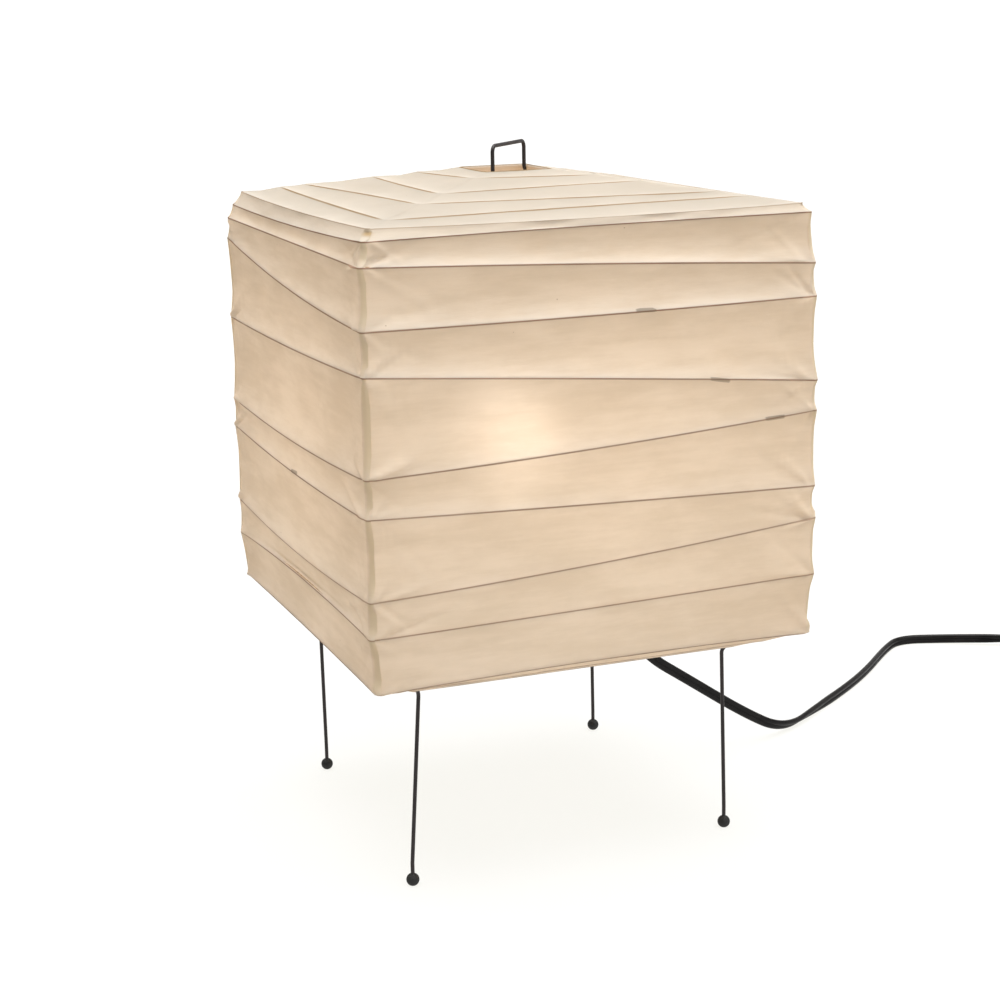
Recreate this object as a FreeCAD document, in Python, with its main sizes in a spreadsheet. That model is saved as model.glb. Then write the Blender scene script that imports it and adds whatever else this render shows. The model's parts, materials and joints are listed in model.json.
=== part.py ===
"""Square paper lantern table lamp: a washi shade on bamboo hoops, carried by a bent wire stand.

The lamp stands on the plane z = 0 with its axis on the Z axis. The front of the shade faces -Y.
All sizes are millimetres.
"""
import FreeCAD, Part
import math
import os
import re

import Sketcher
from FreeCAD import Placement, Rotation, Vector

DIMENSIONS = {
    # Paper shade
    "shade_width": 284.0,
    "shade_lift": 135.5,
    "side_height": 255.0,
    "eaves_rise": 6.5,
    "eaves_set_in": 7.4,
    "top_hoop_set_in": 2.4,
    "lower_edge_set_in": 3.3,
    "roof_rise": 17.0,
    "belly_drop": 13.2,
    "paper_thickness": 0.4,
    "paper_draw": 2.4,
    # Bamboo hoops and wire rims
    "hoop_rod": 1.6,
    "hoop_bend": 4.0,
    "hoop_joint": 0.4,
    "hoop_clearance": 0.1,
    "splint_length": 14.0,
    "top_rim_width": 44.0,
    "top_rim_wire": 2.0,
    "top_rim_bend": 3.0,
    "bottom_rim_width": 214.0,
    "bottom_rim_wire": 2.4,
    "bottom_rim_bend": 6.0,
    "rim_joint": 0.4,
    "rim_clearance": 0.1,
    # Wire stand
    "stand_wire": 2.4,
    "leg_set_in": 7.0,
    "foot_splay": 2.0,
    "foot_ball": 8.0,
    "foot_flat": 0.4,
    "foot_socket": 5.0,
    "foot_straight": 14.0,
    "hook_rise": 13.5,
    "hook_reach": 10.6,
    "leg_bend": 6.0,
    "hook_bend": 3.0,
    "hub_end": 12.0,
    "stretcher_foot": 58.0,
    "stretcher_weld": 28.0,
    "shoulder_run": 10.0,
    "handle_overhang": 5.0,
    "handle_height": 14.8,
    "handle_bend": 4.0,
    # Lamp holder
    "hub_diameter": 40.0,
    "hub_thickness": 1.5,
    "nipple_diameter": 10.0,
    "nipple_bore": 7.0,
    "nipple_above": 9.0,
    "nipple_below": 3.6,
    "locknut_flats": 15.0,
    "locknut_thickness": 3.0,
    "thread_clearance": 0.05,
    "socket_diameter": 36.0,
    "cap_height": 21.8,
    "cap_floor": 4.0,
    "cap_wall": 2.5,
    "body_height": 38.0,
    "body_floor": 6.0,
    "shell_bore": 26.9,
    "shell_wall": 0.8,
    "shell_height": 30.0,
    "contact_width": 6.0,
    "contact_length": 16.0,
    "contact_rise": 5.0,
    "contact_strip": 0.8,
    "outlet_rise": 10.0,
    "bushing_plug": 9.0,
    "bushing_root": 13.0,
    "bushing_tip": 7.5,
    "bushing_length": 28.0,
    "cord_heading": 9.7,
    # Bulb
    "bulb_clearance": 0.35,
    "bulb_gap": 0.2,
    "tip_diameter": 9.0,
    "tip_thickness": 1.0,
    "insulator_height": 3.0,
    "screw_cap_height": 24.0,
    "screw_cap_wall": 0.5,
    "neck_inside": 10.0,
    "neck_collar": 2.0,
    "glass_wall": 0.8,
    "globe_diameter": 60.0,
    "globe_rise": 78.0,
    "flare_width": 47.0,
    "flare_rise": 60.0,
    # Cord, switch, coil and plug
    "cord_diameter": 4.5,
    "cord_width": 7.2,
    "cord_straight": 18.0,
    "switch_length": 56.0,
    "switch_width": 24.0,
    "switch_corner": 8.0,
    "switch_lower": 6.0,
    "switch_upper": 9.0,
    "wheel_diameter": 20.0,
    "wheel_thickness": 5.0,
    "wheel_proud": 3.0,
    "wheel_clearance": 0.4,
    "wheel_notch": 2.0,
    "pivot_diameter": 3.0,
    "pivot_clearance": 0.06,
    "pivot_head": 5.6,
    "pivot_head_depth": 2.0,
    "pivot_floor": 1.5,
    "coil_lead": 42.0,
    "coil_radius": 46.0,
    "coil_pitch": 7.6,
    "coil_layer": 5.1,
    "plug_lead": 34.0,
    "plug_length": 26.0,
    "plug_width": 24.0,
    "plug_corner": 5.0,
    "relief_length": 20.0,
    "relief_root": 10.0,
    "relief_tip": 7.0,
    "blade_length": 17.0,
    "blade_width": 6.3,
    "blade_thickness": 1.5,
    "blade_pitch": 12.7,
    "tie_thickness": 0.8,
    "tie_width": 10.0,
    "tie_clearance": 0.1,
}

# Corners in turn from above, and the side of the shade that follows each.
CORNERS = {"back_left": (-1, 1), "front_left": (-1, -1), "front_right": (1, -1), "back_right": (1, 1)}
SIGNS = tuple(CORNERS.values())
SIDES = ("left", "front", "right", "back")

# Hand-laid hoops: where each crosses the four corners, as a share of the way along its part of the
# shade. Roof hoops run from the top rim to the eaves, belly hoops from the lower edge to the bottom rim.
ROOF_HOOPS = (
    (0.19, 0.12, 0.18, 0.22),
    (0.38, 0.41, 0.36, 0.43),
    (0.69, 0.59, 0.67, 0.65),
    (0.80, 0.86, 0.79, 0.86),
    (1.00, 1.00, 1.00, 1.00),
)
SIDE_HOOPS = (
    (0.985, 1.000, 1.006, 0.990),
    (0.951, 0.947, 0.889, 0.925),
    (0.900, 0.809, 0.813, 0.840),
    (0.694, 0.712, 0.616, 0.650),
    (0.478, 0.487, 0.546, 0.500),
    (0.407, 0.400, 0.364, 0.410),
    (0.207, 0.212, 0.288, 0.240),
    (0.117, 0.128, 0.150, 0.130),
    (0.000, -0.006, 0.000, 0.000),
)
BELLY_HOOPS = ((0.45, 0.50, 0.55, 0.50),)
# How far the eaves hang below their height at each corner.
EAVES_DROPS = (1.6, 0.0, 0.0, 3.2)

# Hand-bent legs: how far each foot stands off its corner of the square, in X and Y.
FOOT_SHIFTS = ((4.6, 2.8), (-5.9, -1.3), (1.6, 4.0), (0.0, 0.0))

# Side of the shade, and share along it, where the ends of each hoop meet.
HOOP_JOINTS = (
    ("back", 0.40), ("right", 0.60), ("back", 0.50), ("right", 0.30), ("back", 0.70),
    ("right", 0.50), ("back", 0.30), ("front", 0.60), ("front", 0.77), ("front", 0.90),
    ("left", 0.50), ("right", 0.70), ("back", 0.60), ("right", 0.40), ("back", 0.20),
)

# The paper between two hoops draws in by at most this share of their distance.
STEEPEST_DRAW = 0.12
# A splint lies this share of a rod's diameter further in than the hoop that it joins.
SPLINT_SET_IN = 0.28

# Cord from the bushing to the switch: distance from the axis along the heading and height while it
# hangs, then X and Y on the table, and the straight run that lifts off it into the switch.
CORD_DROP = ((82, 131), (94, 101), (106, 80), (140, 57), (190, 22.5))
CORD_FLOOR = ((221, 37), (262, 64), (306, 95), (344, 126), (385, 166.5), (409, 184.5), (441, 173.5))
SWITCH_RUN = ((480, 147.6), (508, 134.7))
# Share of the shorter run that a bend of the cord takes up.
CORD_CORNER = 0.45

COIL_TURNS = 2
CLIMB_STEEPNESS = 1.2
WHEEL_NOTCHES = 16
GAP_STEPS = 24
UP = Vector(0, 0, 1)
# Least upward share of an upright edge's direction, and the length that counts as none.
UPRIGHT = 0.99
NONE = 1e-6

# Heights on the lamp's axis and reaches along its diagonals, as expressions of the sizes.
EAVES = "(shade_lift + side_height + eaves_rise)"
ROOF_TOP = "(%s + roof_rise)" % EAVES
TOP_RIM = "(%s - paper_thickness - top_rim_wire / 2 - rim_clearance)" % ROOF_TOP
BELLY_RUN = "(shade_width / 2 - lower_edge_set_in - bottom_rim_width / 2)"
RIM_SEAT = "((bottom_rim_wire / 2 + rim_clearance) * sqrt(%s^2 + belly_drop^2) / %s)" % (BELLY_RUN, BELLY_RUN)
BOTTOM_RIM = "(shade_lift - belly_drop + paper_thickness + %s)" % RIM_SEAT
RIM_CORNER = "(sqrt(2) * (bottom_rim_width / 2 - bottom_rim_bend) + bottom_rim_bend)"
LEG_HALF = "(bottom_rim_width / 2 - leg_set_in)"
HANDLE_HALF = "((top_rim_width + handle_overhang) / 2)"
FOOT_HALF = "(%s + foot_splay)" % LEG_HALF
LEG_REACH = "(sqrt(2) * %s)" % LEG_HALF
HOOK_SEAT = "(((stand_wire + bottom_rim_wire) / 2 + rim_clearance) * sqrt(hook_reach^2 + hook_rise^2))"
LEG_TOP = "(%s - ((%s - %s) * hook_rise - %s) / hook_reach)" % (BOTTOM_RIM, RIM_CORNER, LEG_REACH, HOOK_SEAT)
CROSS = "(%s + hook_rise)" % LEG_TOP
HUB = "(%s + stand_wire / 2)" % CROSS
CAP = "(%s + hub_thickness)" % HUB
BODY = "(%s + cap_height)" % CAP
SHELL = "(%s + body_floor)" % BODY
TIP = "(%s + contact_rise + bulb_gap)" % SHELL
INSULATOR = "(%s + tip_thickness)" % TIP
SCREW_CAP = "(%s + insulator_height)" % INSULATOR
SCREW_CAP_TOP = "(%s + screw_cap_height)" % SCREW_CAP
COIL_LEVEL = "(tie_thickness + tie_clearance + cord_diameter / 2)"
PLUG_LEVEL = "(%s + coil_layer)" % COIL_LEVEL

doc = FreeCAD.newDocument("paper_lantern")
sheet = doc.addObject("Spreadsheet::Sheet", "Sizes")
for row, (alias, number) in enumerate(DIMENSIONS.items(), start=1):
    sheet.set("A%d" % row, alias)
    sheet.set("B%d" % row, str(number))
    sheet.setAlias("B%d" % row, alias)
doc.recompute()

pieces = []


def cells(expression):
    """Expression with the sheet's name before each of its sizes."""
    return re.sub(r"[a-z_]+", lambda m: "Sizes." + m.group() if m.group() in DIMENSIONS else m.group(),
                  expression)


def size(expression):
    """Value of a size, or of an expression of sizes."""
    return float(sheet.evalExpression(cells(expression)))


def bind(obj, **expressions):
    """Tie properties of an object to the sheet."""
    for name, expression in expressions.items():
        obj.setExpression(name.replace("__", "."), cells(expression))
    return obj


def keep(obj, label):
    """Name a finished sub-part and list it for writing."""
    obj.Label = label
    pieces.append(obj)
    return obj


def keep_shape(label, shape):
    """Sub-part whose shape is swept along a bent wire or lofted through sections."""
    obj = doc.addObject("Part::Feature", label)
    obj.Shape = shape
    obj.Placement = Placement()
    return keep(obj, label)


def cylinder(name, diameter, height, base="0", x="0", y="0"):
    """Upright cylinder that stands on a base height."""
    obj = doc.addObject("Part::Cylinder", name)
    bind(obj, Radius="(%s) / 2" % diameter, Height=height)
    return bind(obj, Placement__Base__x=x, Placement__Base__y=y, Placement__Base__z=base)


def cone(name, root, tip, length, start, direction):
    """Cone from a point along a direction."""
    obj = doc.addObject("Part::Cone", name)
    bind(obj, Radius1="(%s) / 2" % root, Radius2="(%s) / 2" % tip, Height=length)
    obj.Placement = Placement(start, Rotation(UP, direction))
    return obj


def box(name, length, width, height, x="0", y="0", z="0"):
    """Box centred on x and y that stands on z."""
    obj = doc.addObject("Part::Box", name)
    bind(obj, Length=length, Width=width, Height=height)
    return bind(obj, Placement__Base__x="(%s) - (%s) / 2" % (x, length),
                Placement__Base__y="(%s) - (%s) / 2" % (y, width), Placement__Base__z=z)


def round_uprights(name, block, radius):
    """Block with its upright edges rounded."""
    doc.recompute()
    result = doc.addObject("Part::Fillet", name)
    result.Base = block
    edges = [(i, size(radius), size(radius)) for i, edge in enumerate(block.Shape.Edges, start=1)
             if abs(edge.tangentAt(edge.FirstParameter).z) > UPRIGHT]
    result.Edges = edges
    return result


def cut(name, base, *tools):
    """Base with each tool taken out of it."""
    for index, tool in enumerate(tools):
        result = doc.addObject("Part::Cut", "%s_%d" % (name, index))
        result.Base = base
        result.Tool = tool
        base = result
    return base


def fuse(name, *shapes):
    """Shapes joined into one solid, or grouped where they lie apart."""
    result = doc.addObject("Part::MultiFuse", name)
    result.Shapes = list(shapes)
    return result


def turned(name, profile):
    """Body turned about the Z axis from its (radius, height) corners."""
    body = doc.addObject("PartDesign::Body", name)
    sketch = body.newObject("Sketcher::SketchObject", name + "_profile")
    plane = [feature for feature in body.Origin.OriginFeatures if feature.Role == "XZ_Plane"][0]
    sketch.AttachmentSupport = (plane, [""])
    sketch.MapMode = "FlatFace"
    corners = [Vector(size(radius), size(height), 0) for radius, height in profile]
    count = len(corners)
    for i in range(count):
        sketch.addGeometry(Part.LineSegment(corners[i], corners[(i + 1) % count]), False)
    for i in range(count):
        sketch.addConstraint(Sketcher.Constraint("Coincident", i, 2, (i + 1) % count, 1))
    for i, (radius, height) in enumerate(profile):
        if radius == "0":
            sketch.addConstraint(Sketcher.Constraint("PointOnObject", i, 1, -2))
        else:
            across = sketch.addConstraint(Sketcher.Constraint("DistanceX", -1, 1, i, 1, corners[i].x))
            sketch.setExpression("Constraints[%d]" % across, cells(radius))
        upward = sketch.addConstraint(Sketcher.Constraint("DistanceY", -1, 1, i, 1, corners[i].y))
        sketch.setExpression("Constraints[%d]" % upward, cells(height))
    revolution = body.newObject("PartDesign::Revolution", name + "_turn")
    revolution.Profile = sketch
    revolution.ReferenceAxis = (sketch, ["V_Axis"])
    revolution.Angle = 360.0
    body.Tip = revolution
    return body


def ring(name, inner, outer, low, high):
    """Plain turned ring between two radii and two heights."""
    return turned(name, [(inner, low), (outer, low), (outer, high), (inner, high)])


def unit(vector):
    """Vector of length one."""
    return vector * (1.0 / vector.Length)


def bent_path(points, trims):
    """Straight runs through points, joined by tangent arcs that take a trim off each run."""
    edges = []
    radii = []
    last = points[0]
    for before, corner, after, trim in zip(points, points[1:], points[2:], trims):
        into = unit(corner - before)
        out = unit(after - corner)
        half_turn = into.getAngle(out) / 2
        start = corner - into * trim
        end = corner + out * trim
        radius = trim / math.tan(half_turn)
        middle = corner + unit(out - into) * (radius / math.cos(half_turn) - radius)
        edges.append(Part.LineSegment(last, start).toShape())
        edges.append(Part.Arc(start, middle, end).toShape())
        radii.append(radius)
        last = end
    edges.append(Part.LineSegment(last, points[-1]).toShape())
    return Part.Wire(edges), radii


def bend_trims(points, bends):
    """Trim of each corner that gives its bend radius."""
    trims = []
    for before, corner, after, bend in zip(points, points[1:], points[2:], bends):
        trims.append(bend * math.tan((corner - before).getAngle(after - corner) / 2))
    return trims


def tube(path, diameter):
    """Round rod or tube along a path."""
    first = path.OrderedEdges[0]
    circle = Part.makeCircle(diameter / 2, first.valueAt(first.FirstParameter),
                             first.tangentAt(first.FirstParameter))
    return path.makePipeShell([Part.Wire([circle])], True, False)


def bent_wire(points, bends, diameter):
    """Wire bent at each inner point with its own radius."""
    path, radii = bent_path(points, bend_trims(points, bends))
    return tube(path, diameter)


def outline(corner):
    """Outer points of the paper at one corner, as (half width, height), and the hoops' places in it."""
    half = size("shade_width") / 2
    top = Vector(size("top_rim_width") / 2, size(ROOF_TOP), 0)
    eaves = Vector(half - size("eaves_set_in"), size(EAVES) - EAVES_DROPS[corner], 0)
    lower = Vector(half - size("lower_edge_set_in"), size("shade_lift"), 0)
    bottom = Vector(size("bottom_rim_width") / 2, size("shade_lift - belly_drop"), 0)
    set_in = [size("top_hoop_set_in")] + [0.0] * (len(SIDE_HOOPS) - 2) + [size("lower_edge_set_in")]
    points = [top]
    hoops = []
    for shares in ROOF_HOOPS:
        hoops.append(len(points))
        points.append(top + (eaves - top) * shares[corner])
    for inward, shares in zip(set_in, SIDE_HOOPS):
        crest = Vector(half - inward, size("shade_lift") + size("side_height") * shares[corner], 0)
        gap = (points[-1] - crest).Length
        draw = min(size("paper_draw"), STEEPEST_DRAW * gap)
        points.append((points[-1] + crest) * 0.5 - Vector(draw, 0, 0))
        hoops.append(len(points))
        points.append(crest)
    for shares in BELLY_HOOPS:
        hoops.append(len(points))
        points.append(lower + (bottom - lower) * shares[corner])
    points.append(bottom)
    return points, hoops


def inward(step):
    """Direction into the shade from a step down its outline."""
    return unit(Vector(step.y, -step.x, 0))


def mitre(before, after):
    """Way in from the corner between two steps that lies one millimetre inside both."""
    first = inward(before)
    halfway = unit(first + inward(after))
    return halfway * (1.0 / halfway.dot(first))


def set_in_point(points, index, distance):
    """Point that lies a distance inside both neighbouring stretches of an outline."""
    way_in = mitre(points[index] - points[index - 1], points[index + 1] - points[index])
    return points[index] + way_in * distance


def at_corner(corner, place):
    """Point in space of a (half width, height) place at a corner."""
    across, along = SIGNS[corner]
    return Vector(across * place.x, along * place.x, place.y)


OUTLINES = [outline(corner) for corner in range(len(SIGNS))]
EAVES_STATION = len(ROOF_HOOPS)
LOWER_STATION = EAVES_STATION + 2 * len(SIDE_HOOPS)
BOTTOM_STATION = LOWER_STATION + len(BELLY_HOOPS) + 1


def paper_depth(station):
    """Way through the paper at a station: upright at its edges, mitred at its folds, level between."""
    rise = Vector(0, 1, 0)
    roof = Vector(size("shade_width / 2 - eaves_set_in - top_rim_width / 2"), -size("roof_rise"), 0)
    eaves = Vector(size("eaves_set_in - top_hoop_set_in"), -size("eaves_rise"), 0)
    belly = Vector(-size(BELLY_RUN), -size("belly_drop"), 0)
    ways = {0: rise * -1, EAVES_STATION: mitre(roof, eaves), LOWER_STATION: mitre(rise * -1, belly),
            BOTTOM_STATION: rise}
    return ways.get(station, Vector(-1, 0, 0)) * size("paper_thickness")


def paper_section(side, station):
    """Thin section of one side's paper across a station of the outline, flat even where it slopes."""
    corners = (side, (side + 1) % len(SIGNS))
    places = [OUTLINES[corner][0][station] for corner in corners]
    level = sum(place.y for place in places) / len(places)
    depth = paper_depth(station)
    outer = []
    inner = []
    for corner, place in zip(corners, places):
        lift = (place.y - level) * depth.x / place.x
        outer.append(at_corner(corner, place))
        inner.append(at_corner(corner, place + depth + Vector(0, lift, 0)))
    ends = outer + inner[::-1]
    return Part.makePolygon(ends + ends[:1])


def paper_panels():
    """Roof, side and belly of each of the four paper gores."""
    spans = {"roof": (0, EAVES_STATION), "side": range(EAVES_STATION, LOWER_STATION + 1),
             "belly": (LOWER_STATION, BOTTOM_STATION)}
    for side, side_name in enumerate(SIDES):
        for part, stations in spans.items():
            sections = [paper_section(side, station) for station in stations]
            keep_shape("paper_%s_%s" % (part, side_name), Part.makeLoft(sections, True, True))


def bamboo_hoops():
    """One bent bamboo rod for each hoop, and the splints that join their ends."""
    rod = size("hoop_rod")
    depth = size("paper_thickness") + rod / 2 + size("hoop_clearance")
    names = ["hoop_roof_%d" % (i + 1) for i in range(len(ROOF_HOOPS))]
    names += ["hoop_side_%d" % (i + 1) for i in range(len(SIDE_HOOPS))]
    names += ["hoop_belly_%d" % (i + 1) for i in range(len(BELLY_HOOPS))]
    splints = []
    for hoop, (name, (joined_side, share)) in enumerate(zip(names, HOOP_JOINTS)):
        corners = []
        for corner, (points, hoops) in enumerate(OUTLINES):
            corners.append(at_corner(corner, set_in_point(points, hoops[hoop], depth)))
        side = SIDES.index(joined_side)
        start, end = corners[side], corners[(side + 1) % len(corners)]
        along = unit(end - start)
        middle = start + (end - start) * share
        ordered = [corners[(side + 1 + i) % len(corners)] for i in range(len(corners))]
        gap = along * (size("hoop_joint") / 2)
        path = [middle + gap] + ordered + [middle - gap]
        keep_shape(name, bent_wire(path, [size("hoop_bend")] * len(corners), rod))
        points, hoops = OUTLINES[side]
        down = unit(points[hoops[hoop] + 1] - points[hoops[hoop]])
        offset = down * (rod + size("hoop_clearance")) + inward(down) * (rod * SPLINT_SET_IN)
        across, away = SIGNS[side]
        out = Vector(across, 0, 0) if side % 2 == 0 else Vector(0, away, 0)
        beside = middle + out * offset.x + UP * offset.y - along * (size("splint_length") / 2)
        splints.append(Part.makeCylinder(rod / 2, size("splint_length"), beside, along))
    keep_shape("hoop_splints", Part.makeCompound(splints))


def square_rim(label, width, wire, bend, level):
    """Square wire rim with rounded corners, butted at the middle of its back."""
    half = width / 2
    gap = size("rim_joint") / 2
    corners = [Vector(across * half, along * half, level) for across, along in SIGNS]
    path = [Vector(-gap, half, level)] + corners + [Vector(gap, half, level)]
    keep_shape(label, bent_wire(path, [bend] * len(corners), wire))


def wire_rims():
    """Rims that hold the edges of the paper at the top and bottom openings."""
    square_rim("top_rim", size("top_rim_width"), size("top_rim_wire"), size("top_rim_bend"), size(TOP_RIM))
    square_rim("bottom_rim", size("bottom_rim_width"), size("bottom_rim_wire"), size("bottom_rim_bend"),
               size(BOTTOM_RIM))


def stand_legs():
    """Four wires, each a leg, a hook over the bottom rim and a run in to the hub."""
    half = size(FOOT_HALF)
    reach = size(LEG_REACH)
    foot_heights = [size("foot_ball - foot_flat - foot_socket"), size("foot_straight")]
    places = [(reach, size(LEG_TOP)), (reach + size("hook_reach"), size(CROSS)),
              (size("hub_end"), size(CROSS))]
    bends = [size("leg_bend"), size("leg_bend"), size("hook_bend")]
    for (name, (across, along)), (right, back) in zip(CORNERS.items(), FOOT_SHIFTS):
        outward = unit(Vector(across, along, 0))
        path = [Vector(across * half + right, along * half + back, height) for height in foot_heights]
        path += [outward * distance + UP * height for distance, height in places]
        keep_shape("leg_wire_" + name, bent_wire(path, bends, size("stand_wire")))


def rubber_feet():
    """Ball ends pushed on the legs, flat underneath."""
    balls = []
    for (name, (across, along)), (right, back) in zip(CORNERS.items(), FOOT_SHIFTS):
        x = "%d * %s + (%s)" % (across, FOOT_HALF, right)
        y = "%d * %s + (%s)" % (along, FOOT_HALF, back)
        ball = doc.addObject("Part::Sphere", "ball_" + name)
        bind(ball, Radius="foot_ball / 2", Placement__Base__x=x, Placement__Base__y=y,
             Placement__Base__z="foot_ball / 2 - foot_flat")
        floor = box("floor_" + name, "foot_ball", "foot_ball", "foot_ball", x, y, "-foot_ball")
        bore = cylinder("bore_" + name, "stand_wire", "foot_ball", "foot_ball - foot_flat - foot_socket",
                        x, y)
        balls.append(cut("foot_" + name, ball, floor, bore))
    group = doc.addObject("Part::Compound", "feet_group")
    group.Links = balls
    keep(group, "feet")


def stretcher():
    """Wire that holds the shade's top up, with the carrying handle bent in its middle."""
    along = unit(Vector(1, 1, 0))
    beside = unit(Vector(1, -1, 0)) * size("stand_wire")
    shoulder = size("%s - (top_rim_wire + stand_wire) / 2 - rim_clearance" % TOP_RIM)
    foot = size("stretcher_foot")
    grip = size(HANDLE_HALF)
    half = [(foot - size("stretcher_weld"), size(CROSS)), (foot, size(CROSS)),
            (grip + size("shoulder_run"), shoulder), (grip, shoulder),
            (grip, size("%s + handle_height" % ROOF_TOP))]
    places = [(-distance, height) for distance, height in half] + half[::-1]
    path = [along * distance + beside + UP * height for distance, height in places]
    bends = [size("handle_bend")] * (len(path) - 2)
    keep_shape("stretcher_wire", bent_wire(path, bends, size("stand_wire")))


def lamp_holder():
    """Hub plate on the crossing wires, and the screw socket that stands on it."""
    bore = "nipple_diameter / 2 + thread_clearance"
    outer = "socket_diameter / 2"
    keep(ring("hub_disc", bore, "hub_diameter / 2", HUB, CAP), "hub_plate")
    keep(ring("nipple_tube", "nipple_bore / 2", "nipple_diameter / 2", HUB + " - nipple_below",
              CAP + " + nipple_above"), "threaded_nipple")
    nut = doc.addObject("Part::Prism", "nut_blank")
    nut.Polygon = 6
    bind(nut, Circumradius="locknut_flats / sqrt(3)", Height="locknut_thickness",
         Placement__Base__z=HUB + " - locknut_thickness")
    hole = cylinder("nut_hole", "nipple_diameter + 2 * thread_clearance", "locknut_thickness",
                    HUB + " - locknut_thickness")
    keep(cut("nut", nut, hole), "locknut")

    cap_inside = "socket_diameter / 2 - cap_wall"
    cap = turned("cap_blank", [(bore, CAP), (outer, CAP), (outer, BODY), (cap_inside, BODY),
                               (cap_inside, CAP + " + cap_floor"), (bore, CAP + " + cap_floor")])
    heading = Rotation(UP, size("cord_heading")).multVec(Vector(1, 0, 0))
    outlet = UP * size(CAP + " + outlet_rise")
    hole = doc.addObject("Part::Cylinder", "outlet_hole")
    bind(hole, Radius="bushing_plug / 2 + thread_clearance", Height="socket_diameter")
    hole.Placement = Placement(outlet, Rotation(UP, heading))
    keep(cut("cap", cap, hole), "socket_cap")

    wall = outlet + heading * size("socket_diameter / 2")
    plug = cone("bushing_stem", "bushing_plug", "bushing_plug", "cap_wall",
                wall - heading * size("cap_wall"), heading)
    taper = cone("bushing_taper", "bushing_root", "bushing_tip", "bushing_length", wall, heading)
    keep(fuse("bushing", plug, taper), "cord_bushing")

    shell_outer = "shell_bore / 2 + shell_wall"
    socket_bore = shell_outer + " + thread_clearance"
    body_top = BODY + " + body_height"
    keep(turned("body_turned", [("0", BODY), (outer, BODY), (outer, body_top), (socket_bore, body_top),
                                (socket_bore, SHELL), ("0", SHELL)]), "socket_body")
    keep(ring("shell_turned", "shell_bore / 2", shell_outer, SHELL, SHELL + " + shell_height"), "screw_shell")

    offset = "contact_length / 2 - contact_strip / 2"
    base = box("contact_base", "contact_length", "contact_width", "contact_strip", z=SHELL)
    riser = box("contact_riser", "contact_strip", "contact_width", "contact_rise", x=offset, z=SHELL)
    tab = box("contact_tab", "contact_length", "contact_width", "contact_strip",
              z=SHELL + " + contact_rise - contact_strip")
    keep(fuse("contact", base, riser, tab), "centre_contact")
    return outlet + heading * size("socket_diameter / 2 + bushing_length"), heading


def bulb():
    """Screw bulb: contact tip, insulator, screw cap and a hollow opal globe."""
    cap_radius = "(shell_bore / 2 - bulb_clearance)"
    cap_inside = "(%s - screw_cap_wall)" % cap_radius
    keep(turned("tip_turned", [("0", TIP), ("tip_diameter / 2", TIP), ("tip_diameter / 2", INSULATOR),
                               ("0", INSULATOR)]), "bulb_contact")
    keep(turned("insulator_turned", [("0", INSULATOR), ("tip_diameter / 2", INSULATOR),
                                     (cap_radius, SCREW_CAP), ("0", SCREW_CAP)]), "bulb_insulator")
    keep(ring("screw_cap_turned", cap_inside, cap_radius, SCREW_CAP, SCREW_CAP_TOP), "bulb_screw_cap")

    neck = SCREW_CAP_TOP + " - neck_inside"
    collar = SCREW_CAP_TOP + " + neck_collar"
    glass = []
    for name, wall in (("outside", "0"), ("inside", "glass_wall")):
        radius = "(%s - thread_clearance - %s)" % (cap_inside, wall)
        stem = cylinder("stem_" + name, "2 * " + radius, "neck_inside + neck_collar", neck)
        flare = doc.addObject("Part::Cone", "flare_" + name)
        bind(flare, Radius1=radius, Radius2="flare_width / 2 - %s" % wall,
             Height="%s + flare_rise - (%s)" % (TIP, collar), Placement__Base__z=collar)
        globe = doc.addObject("Part::Sphere", "globe_" + name)
        bind(globe, Radius="globe_diameter / 2 - %s" % wall, Placement__Base__z=TIP + " + globe_rise")
        glass.append(fuse("glass_" + name, stem, flare, globe))
    keep(cut("glass", *glass), "bulb_globe")


def cord_lead(start, heading):
    """Cord from the bushing, down to the table and along it to the switch."""
    floor = size("cord_width") / 2
    points = [start, start + heading * size("cord_straight")]
    points += [heading * distance + UP * height for distance, height in CORD_DROP]
    points += [Vector(x, y, floor) for x, y in CORD_FLOOR]
    points += [Vector(x, y, size("switch_lower")) for x, y in SWITCH_RUN]
    runs = [(after - before).Length for before, after in zip(points, points[1:])]
    trims = [CORD_CORNER * min(pair) for pair in zip(runs, runs[1:])]
    path, radii = bent_path(points, trims)
    lead = tube(path, size("cord_diameter"))
    section = math.pi * size("cord_diameter") ** 2 / 4
    print("cord_lead length %.1f, volume over section times length %.4f"
          % (path.Length, lead.Volume / (section * path.Length)))
    print("cord_lead runs", [round(run, 1) for run in runs])
    print("cord_lead radii", [round(radius, 1) for radius in radii])
    keep_shape("cord_lead", lead)
    return points[-1], unit(points[-1] - points[-2])


def in_line(obj, start, heading):
    """Object moved from the origin to a start point, with its X axis along a heading."""
    obj.Placement = Placement(start, Rotation(UP, math.degrees(math.atan2(heading.y, heading.x))))
    return obj


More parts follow.
